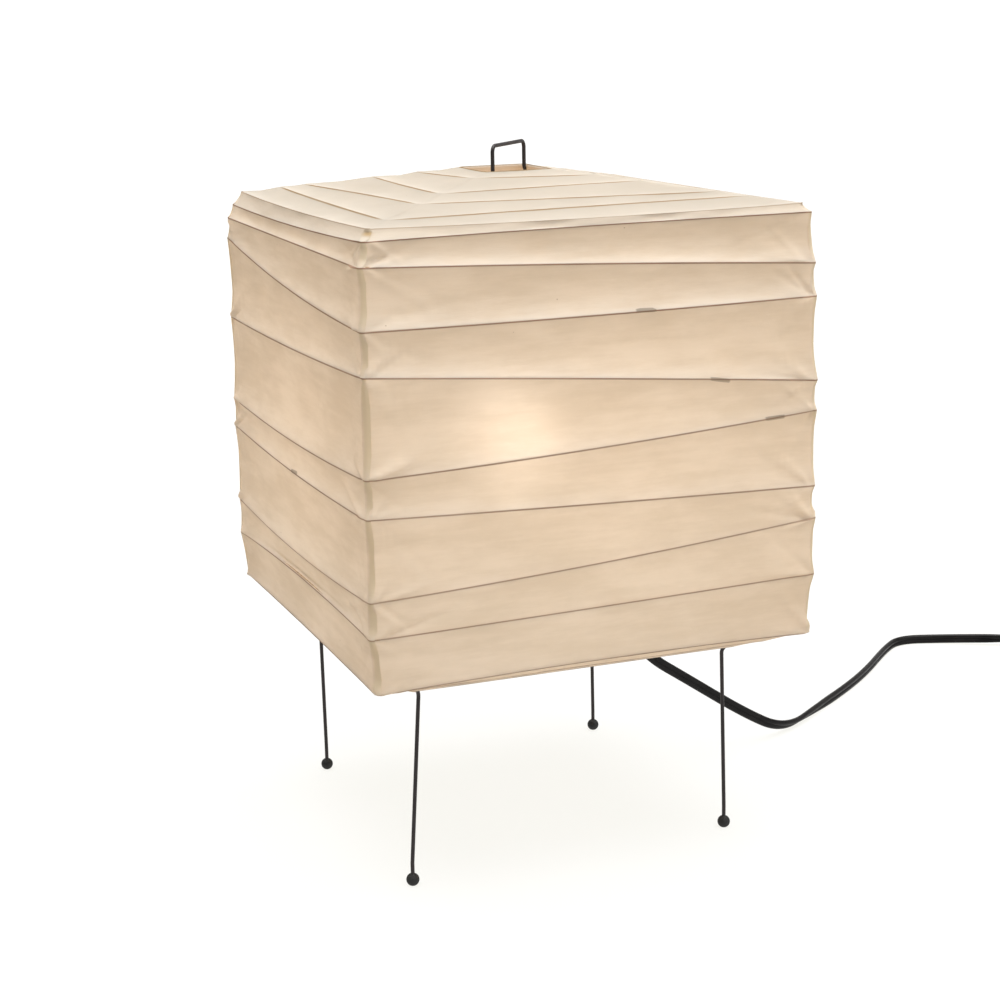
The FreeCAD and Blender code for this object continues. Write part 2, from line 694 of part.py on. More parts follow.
def cord_switch(inlet, heading):
    """Thumbwheel switch: two half shells, the wheel and the screw that it turns on."""
    below = Vector(inlet.x, inlet.y, 0)
    wheel_x = "switch_length / 2"
    wheel_y = "(switch_width / 2 + wheel_proud - wheel_diameter / 2)"
    room = "(wheel_thickness + 2 * wheel_clearance)"
    hole = "pivot_diameter + 2 * pivot_clearance"
    halves = {"switch_lower_shell": ("0", "switch_lower"),
              "switch_upper_shell": ("switch_lower", "switch_upper")}
    for label, (base, height) in halves.items():
        block = box(label + "_block", "switch_length", "switch_width", height, x=wheel_x, z=base)
        shell = round_uprights(label + "_rounded", block, "switch_corner")
        recess = cylinder(label + "_recess", "wheel_diameter + 2 * wheel_clearance", room,
                          "switch_lower - %s / 2" % room, wheel_x, wheel_y)
        bore = cylinder(label + "_bore", hole, "switch_lower + switch_upper", "pivot_floor", wheel_x, wheel_y)
        seat = cylinder(label + "_seat", "pivot_head + 2 * pivot_clearance", "pivot_head_depth",
                        "switch_lower + switch_upper - pivot_head_depth", wheel_x, wheel_y)
        keep(in_line(cut(label + "_cut", shell, recess, bore, seat), below, heading), label)

    disc = cylinder("wheel_disc", "wheel_diameter", "wheel_thickness", "switch_lower - wheel_thickness / 2",
                    wheel_x, wheel_y)
    bore = cylinder("wheel_bore", hole, "wheel_thickness", "switch_lower - wheel_thickness / 2",
                    wheel_x, wheel_y)
    notches = []
    for i in range(WHEEL_NOTCHES):
        angle = "%d * 360 deg / %d" % (i, WHEEL_NOTCHES)
        notches.append(cylinder("wheel_notch_%d" % i, "wheel_notch", "wheel_thickness",
                                "switch_lower - wheel_thickness / 2",
                                "%s + wheel_diameter / 2 * cos(%s)" % (wheel_x, angle),
                                "%s + wheel_diameter / 2 * sin(%s)" % (wheel_y, angle)))
    wheel = cut("wheel_cut", disc, bore, fuse("wheel_notches", *notches))
    keep(in_line(wheel, below, heading), "switch_wheel")

    shank = cylinder("pivot_shank", "pivot_diameter", "switch_lower + switch_upper - pivot_floor",
                     "pivot_floor",
                     wheel_x, wheel_y)
    head = cylinder("pivot_top", "pivot_head", "pivot_head_depth",
                    "switch_lower + switch_upper - pivot_head_depth", wheel_x, wheel_y)
    keep(in_line(fuse("pivot", shank, head), below, heading), "switch_screw")


def arc_from(start, tangent, end):
    """Arc that leaves a start point along a tangent, or a line where the two are in line."""
    chord = end - start
    reach = unit(chord)
    side = tangent - reach * tangent.dot(reach)
    if side.Length < NONE:
        return Part.LineSegment(start, end).toShape()
    half = tangent.getAngle(chord) / 2
    middle = start + chord * 0.5 + unit(side) * (chord.Length / 2 * math.tan(half))
    return Part.Arc(start, middle, end).toShape()


def biarc(start, tangent, end, end_tangent):
    """Two tangent arcs between two points with given directions."""
    step = end - start
    turn = 2 * (1 - tangent.dot(end_tangent))
    lean = step.dot(tangent + end_tangent)
    if turn < NONE:
        reach = step.dot(step) / (2 * lean)
    else:
        reach = (math.sqrt(lean * lean + turn * step.dot(step)) - lean) / turn
    joint = (start + tangent * reach + end - end_tangent * reach) * 0.5
    return [arc_from(start, tangent, joint), arc_from(end, end_tangent * -1, joint)]


def coil_stations(centre, start_side, heading):
    """Places and directions of the put-away coil at each quarter turn."""
    pitch = size("coil_pitch")
    inner = size("coil_radius") - COIL_TURNS * pitch
    half_climb = 4 * COIL_TURNS
    count = 2 * half_climb + 2
    stations = []
    for quarter in range(count + 1):
        from_middle = quarter - half_climb - 1
        past_inner = max(0, abs(from_middle) - 1)
        radius = inner + pitch * past_inner / 4
        share = min(1.0, max(0.0, (from_middle + 1) / 2))
        angle = -math.pi / 2 * quarter
        out = start_side * math.cos(angle) + heading * -math.sin(angle)
        round_way = heading * math.cos(angle) + start_side * math.sin(angle)
        drift = 0.0
        if 0 < quarter < count and from_middle != 0:
            drift = math.copysign(pitch / (2 * math.pi * radius), from_middle)
        if abs(from_middle) == 1:
            drift = drift / 2
        rise = 0.0
        if from_middle == 0:
            rise = CLIMB_STEEPNESS * size("coil_layer") / (math.pi * radius)
        place = centre + out * radius + UP * (size("coil_layer") * share)
        stations.append((place, unit(round_way + out * drift + UP * rise)))
    return stations


def least_gap(path, diameter, clear_length):
    """Least distance between stretches of a tube that lie apart along its path."""
    places = []
    walked = 0.0
    for edge in path.OrderedEdges:
        for point in edge.discretize(GAP_STEPS)[:-1]:
            if places:
                walked += (point - places[-1][1]).Length
            places.append((walked, point))
    least = min((second - first).Length for i, (here, first) in enumerate(places)
                for there, second in places[i + 1:] if there - here > clear_length)
    return least - diameter


def cord_coil(outlet, heading):
    """Put-away length of the cord: wound in on one layer, out on the next, and on to the plug."""
    diameter = size("cord_diameter")
    level = size(COIL_LEVEL)
    start_side = Vector(-heading.y, heading.x, 0)
    straight = outlet + heading * diameter
    meet = Vector(outlet.x, outlet.y, level) + heading * size("coil_lead")
    centre = meet - start_side * size("coil_radius")
    stations = coil_stations(centre, start_side, heading)
    edges = [Part.LineSegment(outlet, straight).toShape()]
    edges += biarc(straight, heading, meet, heading)
    for (place, tangent), (after, after_tangent) in zip(stations, stations[1:]):
        edges += biarc(place, tangent, after, after_tangent)
    last, away = stations[-1]
    plug_tip = last + away * size("plug_lead")
    edges.append(Part.LineSegment(last, plug_tip).toShape())
    path = Part.Wire(Part.__sortEdges__(edges))
    coil = tube(path, diameter)
    print("cord_coil length %.1f, volume over section times length %.4f, least gap %.2f"
          % (path.Length, coil.Volume / (math.pi * diameter ** 2 / 4 * path.Length),
             least_gap(path, diameter, 4 * diameter)))
    keep_shape("cord_coil", coil)
    return centre, plug_tip, away


def coil_tie(centre, heading):
    """Strap round all turns of the coil."""
    inner = "(coil_radius - %d * coil_pitch - cord_width / 2 - tie_clearance)" % COIL_TURNS
    outer = "(coil_radius + cord_width / 2 + tie_clearance)"
    height = "(cord_diameter + coil_layer + 2 * tie_clearance)"
    middle = "(%s + %s) / 2" % (inner, outer)
    strap = box("tie_strap", "%s - %s + 2 * tie_thickness" % (outer, inner), "tie_width",
                height + " + 2 * tie_thickness", x=middle)
    room = box("tie_room", "%s - %s" % (outer, inner), "tie_width", height, x=middle, z="tie_thickness")
    keep(in_line(cut("tie", strap, room), Vector(centre.x, centre.y, 0), heading), "cord_tie")


def plug(tip, heading):
    """Moulded two-pin plug with its tapered strain relief, and the blades."""
    start = Vector(tip.x, tip.y, 0)
    block = box("plug_block", "plug_length", "plug_width", "2 * " + PLUG_LEVEL,
                x="relief_length + plug_length / 2")
    rounded = round_uprights("plug_rounded", block, "plug_corner")
    relief = cone("plug_relief", "relief_tip", "relief_root", "relief_length", UP * size(PLUG_LEVEL),
                  Vector(1, 0, 0))
    keep(in_line(fuse("plug_moulding", rounded, relief), start, heading), "plug_body")
    blades = []
    for name, side in (("left", 1), ("right", -1)):
        blades.append(box("blade_" + name, "blade_length", "blade_thickness", "blade_width",
                          x="relief_length + plug_length + blade_length / 2", y="%d * blade_pitch / 2" % side,
                          z=PLUG_LEVEL + " - blade_width / 2"))
    keep(in_line(fuse("blades", *blades), start, heading), "plug_blades")


def write_pieces():
    """Check every object of the document and write each sub-part to its own file."""
    doc.recompute()
    for obj in doc.Objects:
        if "Invalid" in obj.State or "Error" in obj.State:
            raise RuntimeError("%s failed: %s" % (obj.Name, obj.State))
    for obj in pieces:
        if obj.Shape.isNull() or not obj.Shape.isValid():
            raise RuntimeError("%s has no valid shape" % obj.Label)
    os.makedirs("parts", exist_ok=True)
    for obj in pieces:
        obj.Shape.exportStep("parts/%s.step" % obj.Label)
    print("%d sub-parts written" % len(pieces))


paper_panels()
bamboo_hoops()
wire_rims()
stand_legs()
rubber_feet()
stretcher()
bushing_tip, cord_way = lamp_holder()
bulb()
switch_inlet, switch_way = cord_lead(bushing_tip, cord_way)
cord_switch(switch_inlet, switch_way)
switch_outlet = switch_inlet + switch_way * size("switch_length")
coil_centre, relief_tip, plug_way = cord_coil(switch_outlet, switch_way)
coil_tie(coil_centre, switch_way)
plug(relief_tip, plug_way)
write_pieces()
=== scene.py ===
"""Looks of the square paper lantern table lamp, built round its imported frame. All sizes are metres."""

import json
import math
import random

import bpy
import numpy as np
from mathutils import Matrix, Vector


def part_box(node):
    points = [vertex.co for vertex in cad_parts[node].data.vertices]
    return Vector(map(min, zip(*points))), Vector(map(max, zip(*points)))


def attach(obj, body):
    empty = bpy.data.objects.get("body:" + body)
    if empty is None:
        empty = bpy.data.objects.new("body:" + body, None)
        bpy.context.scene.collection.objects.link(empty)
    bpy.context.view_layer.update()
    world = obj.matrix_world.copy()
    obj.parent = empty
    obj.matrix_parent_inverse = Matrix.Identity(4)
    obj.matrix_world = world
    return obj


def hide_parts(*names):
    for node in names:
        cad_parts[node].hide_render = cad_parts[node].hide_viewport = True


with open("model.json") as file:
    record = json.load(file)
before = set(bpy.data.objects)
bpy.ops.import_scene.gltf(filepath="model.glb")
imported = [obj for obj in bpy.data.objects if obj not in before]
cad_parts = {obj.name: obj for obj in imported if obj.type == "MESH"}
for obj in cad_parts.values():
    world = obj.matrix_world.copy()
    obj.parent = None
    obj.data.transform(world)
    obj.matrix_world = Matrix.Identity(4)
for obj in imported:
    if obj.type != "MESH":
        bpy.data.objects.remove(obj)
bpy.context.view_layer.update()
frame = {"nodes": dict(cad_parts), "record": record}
nodes = frame["nodes"]
UP = Vector((0, 0, 1))

# Camera, fitted to the photograph's corners of the shade and feet
TARGET = Vector((0, 0, 0.200))
AZIMUTH = math.radians(-21.432)
ELEVATION = math.radians(13.641)
ROLL = math.radians(0.986)
DISTANCE = 1.354506
ASIDE = -0.006623
ABOVE = 0.003369
FOCAL_PIXELS = 2118.656
IMAGE_PIXELS = 1000
SENSOR_MM = 36.0
CLIP_START = 0.01

# Cord: its way out of the lamp, its section, and its route as in the solids
CORD_HEADING = math.radians(9.7)
CORD_WIDTH = 0.0072
CORE_RADIUS = 0.00195
CORE_WAIST = 0.04
CORD_LEVEL = 0.0036
BUSHING_REACH = 0.046
CORD_STRAIGHT = 0.018
CORD_DROP = ((0.082, 0.131), (0.094, 0.101), (0.106, 0.080), (0.140, 0.057), (0.190, 0.0225))
CORD_FLOOR = ((0.221, 0.037), (0.262, 0.064), (0.306, 0.095), (0.344, 0.126), (0.385, 0.1665),
              (0.409, 0.1845), (0.441, 0.1735))
SWITCH_RUN = ((0.480, 0.1476), (0.508, 0.1347))
# Share of the way along the lead, and how far the cord is turned up on its edge there
CORD_TURNS = ((0.00, 0), (0.10, 90), (0.36, 90), (0.445, 35), (0.53, 90), (0.93, 90), (1.00, 0))
SWITCH_LEVEL = 0.006
SWITCH_LENGTH = 0.056
COIL_LEAD = 0.042
COIL_RADIUS = 0.046
COIL_PITCH = 0.0076
COIL_LAYER = 0.0051
COIL_LEVEL = 0.00315
COIL_TURNS = 2
COIL_CLIMB = 0.5
COIL_STEPS = 16
PLUG_LEAD = 0.034
LINE_STEPS = 10
CORE_SIDES = 16

# Paper shade: its corners, its ribs and how its sheets lie over them
CORNERS = ((-1, 1), (-1, -1), (1, -1), (1, 1))
HALF_CORNER = math.pi / 4
SIDES = ("left", "front", "right", "back")
HIDDEN_SIDES = ("right", "back")
HOOPS = ["hoop_roof_%d" % i for i in range(1, 6)]
HOOPS += ["hoop_side_%d" % i for i in range(1, 10)]
HOOPS += ["hoop_belly_1"]
BANDS = len(HOOPS) + 1
EAVES = HOOPS.index("hoop_roof_5") + 1
LOWER = HOOPS.index("hoop_side_9") + 1
ROD = 0.0016
ROD_SHOWN = 0.0013
ROD_BEND = 0.004
ROD_SIDES = 8
EAVES_TUCK = 0.0010
PAPER_OVER_ROD = 0.0005
CREST_BEND = 0.0022
CREST_STEEP = 4
STRIP_BEND = 0.0040
STRIP_STEEP = 3
HIP_BEND = 0.0035
OVERLAP_ANGLE = math.radians(45)
HIP_OVERLAP = math.radians(4)
LAYER = 0.00025
HIP_LAYER = 0.00004
LAYER_REACH = 0.010
SEED = 11
# How far the paper is drawn in between its ribs and at its corners
SIDE_DRAW = 0.0042
ROOF_DRAW = 0.0016
DRAW_SHARE = 0.14
DRAW_PEAK = 0.52
DRAW_FADE = 0.018
FADE_POWER = 1.3
FLARE_POWER = 2.2
PEAK_SWAY = 0.07
DRAW_SWAY = 0.22
CORNER_PULL = (0.0002, 0.0014)
PULL_PLACE = (0.32, 0.66)
CORNER_REACH = 0.012
PULL_SHARE = 0.06
# Slow waves of the paper, and creases that run into it from its corners
WAVE = 0.0007
BAND_WAVE = 0.3
WAVE_REACH = 0.014
WAVE_LENGTH = (0.035, 0.110)
WAVE_LEAN = 1.5
WAVE_PAIRS = 3
CREASED_GAP = 0.010
CREASE_FROM_FOOT = (True, True, False)
CREASE_COUNTS = (1, 2, 2)
CREASE_RISE = (8, 50)
CREASE_LENGTH = (0.018, 0.060)
CREASE_SPAN = 0.95
CREASE_ASIDE = 0.005
CREASE_HEIGHT = (0.0009, 0.0020)
CREASE_WAYS = (1, 1, -1)
CREASE_BREADTH = (0.0022, 0.0052)
CREASE_START = 6
CREASE_FADE = 0.7
CREASE_RIDGE = 1.5
# Rows and columns of points in a sheet
ARC_STEPS = 10
STRAIGHT_STEPS = 120
CROWDING = 0.55
BELOW_RIB = (0.0, 0.0004, 0.0008, 0.0013, 0.0022, 0.0040)
ABOVE_RIB = (0.0060, 0.0040, 0.0025, 0.0014, 0.0006)
ROOMY_GAP = 0.020
MIDDLE_ROWS = 7
NEAR_RIB = 0.010
NEAR_CORNER = 0.030
# Rib lines of the roof and the belly, which are painted shadows of the ribs, and the paper turned in over the
# top rim
BELLY_LINE = 0.4
ROOF_LINE = 0.55
HIP_CLEAR = 0.003
HIP_FADE = 0.012
# Share of the roof's painted shade that the eaves band takes
EAVES_SHADE = 0.5
TOP_EDGE = 0.0004
TOP_TURNS = (180, 150, 120, 90)
TOP_TUCK = 0.0060
# How strongly each row turned in at the top takes the painted glow
TOP_PAINTED_GLOW = (1.0, 1.0, 0.8, 0.3, 0.0)
# Painted shade line along the outer edge of the top rim: how many rows take it, and how dark
TOP_SHADED_ROWS = 2
RIM_SHADE = 1.0
# Splices of the ribs, which also show on the paper as a painted shadow
SPLICE_HALF = 0.0070
SPLICE_THICK = 0.0013
SPLICE_LEAN = 0.10
SPLICE_LIFT = (-0.0006, 0.0004)
NO_SPLICE = (None, 0.0, 0.0, 0.0)
SPLINT_STEPS = 9
SPLICES_SHOWN = ("hoop_side_3", "hoop_side_4", "hoop_side_5", "hoop_side_6")
# How strongly the paper is drawn in, and how pale it laps over each rib, the pale lap being partly a painted
# highlight, band by band from the roof down
DRAWN = (1.0, 1.0, 1.0, 1.0, 1.0, 0.35, 1.1, 1.0, 1.0, 0.9, 0.75, 0.65, 0.6, 0.5, 0.4, 0.4)
DRAWN_FRONT = (1.0, 1.0, 1.0, 1.0, 1.0, 0.3, 1.25, 1.1, 0.95, 0.55, 0.40, 0.18, 0.15, 0.15, 0.4, 0.4)
LAP_HIGHLIGHT_BANDS = (0.5, 0.5, 0.5, 0.5, 0.5, 0.6, 0.6, 0.6, 0.5, 0.5, 0.4, 0.4, 0.3, 0.3, 0.0, 0.0)
LAP_HIGHLIGHT_BANDS_FRONT = (0.5, 0.5, 0.5, 0.5, 0.5, 0.6, 1.0, 1.0, 0.8, 0.5, 0.45, 0.15, 0.0, 0.15, 0.0, 0.0)
LAP_REACH = 0.0070
# Deep fold in a band where two ribs come close together: its depth, place down the band and breadth
DEEP_FOLDS = {("left", 12): (0.0022, 0.88, 0.08)}
NO_FOLD = (0.0, 0.5, 1.0)
# How dark each rib shows through the paper, as a painted shadow of its rod on the lit paper with the rod seen
# through it: five of the roof, nine of the side, one below
RIB_SHADE = (0.95, 0.95, 0.95, 0.95, 0.50, 0.80, 0.74, 0.77, 0.68, 0.64, 0.63, 0.57, 0.61, 0.58, 0.40)
# Paste stains under the eaves, corner by corner, with their place down the band, breadth and reach
CORNER_STAINS = (0.3, 0.8, 0.2, 0.3)
STAIN_PLACE = 0.4
STAIN_BREADTH = 0.25
STAIN_REACH = 0.006

# How far the upright ribs are set in at each corner: back left, front left, front right, back right
SET_IN = {
    "hoop_roof_5": (0.0016, 0.0, 0.0008, 0.0), "hoop_side_1": (0.0018, 0.0, 0.0018, 0.0008),
    "hoop_side_2": (0.0012, 0.0, 0.0022, 0.0008), "hoop_side_3": (0.0006, 0.0, 0.0015, 0.0005),
    "hoop_side_4": (0.0006, 0.0, 0.0005, 0.0), "hoop_side_5": (0.0002, 0.0, 0.0006, 0.0),
    "hoop_side_6": (0.0002, 0.0, 0.0008, 0.0), "hoop_side_7": (0.0007, 0.0, 0.0003, 0.0),
    "hoop_side_8": (0.0004, 0.0, 0.0005, 0.0), "hoop_side_9": (0.0, 0.0, -0.0006, 0.0),
}

# How far down the sheet each rib hangs at the middle of a side: five of the roof, nine of the side, one below
HANG = {
    "left": (0.0000, 0.0010, -0.0010, 0.0012, 0.0024, 0.0020, 0.0000, 0.0048, 0.0020, 0.0040, 0.0033, 0.0050,
             -0.0036, -0.0022, 0.0),
    "front": (0.0000, -0.0010, 0.0000, -0.0010, 0.0028, -0.0007, -0.0010, 0.0009, -0.0005, 0.0020, 0.0006,
              0.0022, 0.0003, -0.0028, 0.0),
    "right": (0.0008, 0.0000, 0.0012, -0.0008, 0.0018, 0.0012, -0.0006, 0.0024, 0.0030, -0.0012, 0.0026,
              0.0034, -0.0014, 0.0006, 0.0),
    "back": (0.0000, 0.0012, -0.0006, 0.0010, 0.0020, 0.0004, 0.0016, -0.0010, 0.0028, 0.0018, -0.0008,
             0.0030, 0.0012, 0.0000, 0.0),
}

# Colours of the paper, lit from outside and from inside
PAPER_DARK = (0.690, 0.595, 0.468, 1)
PAPER_LIGHT = (0.757, 0.660, 0.537, 1)
PAPER_FIBRE = (0.80, 0.72, 0.61, 1)
PAPER_SEAM = (0.69, 0.60, 0.43, 1)
# Pale paper where it laps over a rib, partly a painted highlight above the rib
PAPER_LAP_HIGHLIGHT = (0.88, 0.84, 0.76, 1)
# Darker, greyer paper on the roof: painted shade against the light from above
PAPER_ROOF_SHADED = (0.462, 0.442, 0.402, 1)
PAPER_STAIN = (0.46, 0.30, 0.10, 1)
PAPER_SPECK = (0.20, 0.13, 0.07, 1)
GLOW_DARK = (0.70, 0.54, 0.37, 1)
GLOW_LIGHT = (0.82, 0.66, 0.48, 1)
GLOW_SEAM = (0.70, 0.57, 0.36, 1)
# Dimmer glow: painted shade on the roof, and the lesser light through the pasted laps
GLOW_SHADED = (0.30, 0.26, 0.20, 1)
# Browns of the painted shadows that the ribs and their splices cast on the lit paper, with the rods seen
# through it
RIB_SHADE_BROWN = (0.175, 0.046, 0.008, 1)
SPLICE_SHADE_BROWN = (0.20, 0.15, 0.10, 1)
ROOF_RIB_SHADE_BROWN = (0.30, 0.20, 0.10, 1)
# Patterns in the paper: scale, detail, stretch and roughness
CLOUDS = (16, 5.0, (1, 1, 2.2), 0.55)
STREAKS = (60, 6.0, (0.35, 0.35, 2.6), 0.65)
FIBRES = (420, 3.0, (0.25, 0.25, 1.6), 0.7)
SPECK_SCALE = 45.0
# How far each pattern or mark shows: from, to, and the strength at each
TONE_RANGE = (0.36, 0.64)
FIBRE_RANGE = (0.60, 0.74, 0.0, 0.30)
SEAM_EDGE = (0.0028, 0.0050, 1.0, 0.0)
SEAM_FADE = (0.0008, 0.0060, 0.35, 1.0)
SEAM_ROOF = (0.0, 1.0, 0.8, 0.0)
LAP_PATCHES = (0.35, 0.62, 0.55, 1.0)
# Patchy strength of the painted rib shadows
SHADE_PATCHES = (0.30, 0.70, 0.80, 1.0)
RIB_LINE = (0.0003, 0.0008, 1.0, 0.0)
RIB_TOP = (0.0001, 0.0005, 1.0, 0.0)
SPLICE_EDGE = (0.0, 0.2, 0.0, 0.60)
SPECK_EDGE = (0.014, 0.024, 0.7, 0.0)
STAIN_EDGE = (0.15, 0.9, 0.0, 0.7)
CLOUD_SHARE = 0.60
STREAK_SHARE = 0.40
# How far the roof takes its painted shade
ROOF_SHADE_SHARE = 0.8
SEAM_RAGGED = 0.002
# How far the lap takes its pale colour, partly a painted highlight
LAP_HIGHLIGHT_SHARE = 0.95
LAP_THROUGH = 0.20
FIBRE_RELIEF = 0.6
PAPER_RELIEF = (0.18, 0.0006)
PAPER_THROUGH = 0.40
PAPER_CLEAR = 0.07
PAPER_ROUGH = 0.95
PAPER_GLOSS = 0.2
PAPER_BEND = 1.12
# Bamboo
BAMBOO_DARK = (0.30, 0.17, 0.075, 1)
BAMBOO_LIGHT = (0.52, 0.35, 0.18, 1)
BAMBOO_NODE = (0.22, 0.12, 0.05, 1)
BAMBOO_GRAIN = (700, 4.0, (0.3, 0.3, 1.0), 0.6)
BAMBOO_PATCHES = (30, 2.0)
BAMBOO_TONES = (0.35, 0.65)
BAMBOO_NODES = (0.55, 0.72, 0.0, 0.5)
BAMBOO_RELIEF = (0.3, 0.0003)
BAMBOO_ROUGH = 0.55
# Plain finishes: their mottling against their grain, and the gloss that goes with it
MOTTLE_TIMES = 12
MOTTLE_DETAIL = 3.0
GRAIN_DETAIL = 2.0
MOTTLE_TONES = (0.35, 0.65)
MOTTLE_GLOSS = (0.3, 0.7)
GLOSS_LOW = 0.82
GLOSS_HIGH = 1.2
GRAIN_STRENGTH = 0.15
GRAIN_DEPTH = 0.0002
# Lit bulb, and a painted glow on the paper that is turned in at the top
GLASS_WHITE = (0.95, 0.93, 0.88, 1)
GLASS_CLOUD = (60, 2.0)
GLASS_ROUGH = 0.25
BULB_DEEP = (1.0, 0.83, 0.70, 1)
BULB_WARM = (1.0, 0.89, 0.80, 1)
BULB_CORE = (0.005, 0.026, 11.5, 4.0)
BULB_RISE = 0.007
# Strength and colour of the painted glow on the paper turned in at the top
PAINTED_GLOW_STRENGTH = 0.50
PAINTED_GLOW_ORANGE = (1.0, 0.55, 0.24, 1)
# Studio: reach and strength of its light from each way, and its floor
SKY_LOW = (-0.7, 0.5, 0.19, 0.50)
SKY_ABOVE = (0.78, 0.94, 0.0, 7.2)
SKY_BEHIND = (0.35, 0.65, 0.0, 1.10)
SKY_BEHIND_TOP = (0.12, 0.35, 1.0, 0.0)
SKY_FRONT = (0.80, 0.97, 0.0, 1.12)
SKY_WHITE = (1.0, 0.99, 0.975, 1)
FRONT_LIGHT = (0.42, -0.80, 0.42)
FLOOR_SIZE = 60.0
# Bluish tone under a warm glow: the floor's shade under the lamp turns warm, painted lamplight
FLOOR_TONE = (0.084, 0.087, 0.105, 1)
FLOOR_GLOW = (1.0, 0.99, 0.931, 1)
FLOOR_LIFT = 0.885
FLOOR_ROUGH = 0.9
FLOOR_GLOSS = 0.1


def to_points(name):
    """Vertices of a node's mesh as an array."""
    mesh = nodes[name].data
    points = np.zeros(len(mesh.vertices) * 3)
    mesh.vertices.foreach_get("co", points)
    return points.reshape(-1, 3)


def new_mesh(name, points, faces):
    """Smooth mesh object from points and faces."""
    mesh = bpy.data.meshes.new(name)
    mesh.from_pydata([tuple(p) for p in points], [], faces)
    mesh.validate()
    mesh.shade_smooth()
    piece = bpy.data.objects.new(name, mesh)
    bpy.context.scene.collection.objects.link(piece)
    return piece


# Camera
def place_camera():
    """Camera at the photograph's viewing angle."""
    back = Vector((math.sin(AZIMUTH) * math.cos(ELEVATION), -math.cos(AZIMUTH) * math.cos(ELEVATION),
                   math.sin(ELEVATION)))
    right = Vector((math.cos(AZIMUTH), math.sin(AZIMUTH), 0))
    above = back.cross(right)
    across = right * math.cos(ROLL) - above * math.sin(ROLL)
    upward = right * math.sin(ROLL) + above * math.cos(ROLL)
    camera = bpy.data.objects.new("camera", bpy.data.cameras.new("camera"))
    camera.data.sensor_fit = "HORIZONTAL"
    camera.data.sensor_width = SENSOR_MM
    camera.data.lens = FOCAL_PIXELS / IMAGE_PIXELS * SENSOR_MM
    camera.data.clip_start = CLIP_START
    turn = Matrix((across, upward, back)).transposed().to_4x4()
    place = TARGET + back * DISTANCE + right * ASIDE + above * ABOVE
    camera.matrix_world = Matrix.Translation(place) @ turn
    bpy.context.scene.collection.objects.link(camera)
    bpy.context.scene.camera = camera


place_camera()


# Cord
def smooth_line(points):
    """Points along the smooth line that has the route's points as its control points."""
    curve = bpy.data.curves.new("route", "CURVE")
    curve.dimensions = "3D"
    curve.resolution_u = LINE_STEPS
    spline = curve.splines.new("NURBS")
    spline.points.add(len(points) - 1)
    for point, place in zip(spline.points, points):
        point.co = (*place, 1.0)
    spline.order_u = 3
    spline.use_endpoint_u = True
    holder = bpy.data.objects.new("route", curve)
    mesh = bpy.data.meshes.new_from_object(holder)
    line = [v.co.copy() for v in mesh.vertices]
    bpy.data.objects.remove(holder)
    bpy.data.curves.remove(curve)
    bpy.data.meshes.remove(mesh)
    return line


def core_section():
    """Outline of the two moulded cores side by side, as (across, up)."""
    offset = CORD_WIDTH / 2 - CORE_RADIUS
    half_waist = math.acos((offset - CORE_RADIUS * CORE_WAIST) / CORE_RADIUS)
    outline = []
    for side in (1, -1):
        for i in range(CORE_SIDES + 1):
            angle = -math.pi + half_waist + (2 * math.pi - 2 * half_waist) * i / CORE_SIDES
            across = offset + CORE_RADIUS * math.cos(angle)
            outline.append((side * across, side * CORE_RADIUS * math.sin(angle)))
    return outline


def flat_cord(name, line, turns=((0, 0), (1, 0))):
    """Flat two-core cord along a line, lying on its broad side or turned up on its edge by degrees."""
    outline = core_section()
    count = len(outline)
    walked = np.cumsum([0.0] + [(b - a).length for a, b in zip(line, line[1:])])
    tilts = np.radians(np.interp(walked / walked[-1], *zip(*turns)))
    points = []
    for i, (place, tilt) in enumerate(zip(line, tilts)):
        along = (line[min(i + 1, len(line) - 1)] - line[max(i - 1, 0)]).normalized()
        level = along.cross(UP).normalized()
        across = level * math.cos(tilt) + level.cross(along) * math.sin(tilt)
        upward = across.cross(along)
        points += [place + across * x + upward * y for x, y in outline]
    faces = []
    for i in range(len(line) - 1):
        for j in range(count):
            k = (j + 1) % count
            faces.append((i * count + j, i * count + k, (i + 1) * count + k, (i + 1) * count + j))
    last = (len(line) - 1) * count
    faces.append(tuple(range(count))[::-1])
    faces.append(tuple(last + j for j in range(count)))
    return new_mesh(name, points, faces)


def lead_route():
    """Control points of the cord from the strain relief to the switch."""
    low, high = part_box("cord_bushing")
    heading = Vector((math.cos(CORD_HEADING), math.sin(CORD_HEADING), 0))
    exit_height = UP * (low.z + high.z) / 2
    reaches = (BUSHING_REACH, BUSHING_REACH + CORD_STRAIGHT)
    points = [heading * reach + exit_height for reach in reaches]
    points += [heading * reach + UP * height for reach, height in CORD_DROP]
    points += [Vector((x, y, CORD_LEVEL)) for x, y in CORD_FLOOR]
    points += [Vector((x, y, SWITCH_LEVEL)) for x, y in SWITCH_RUN]
    return points


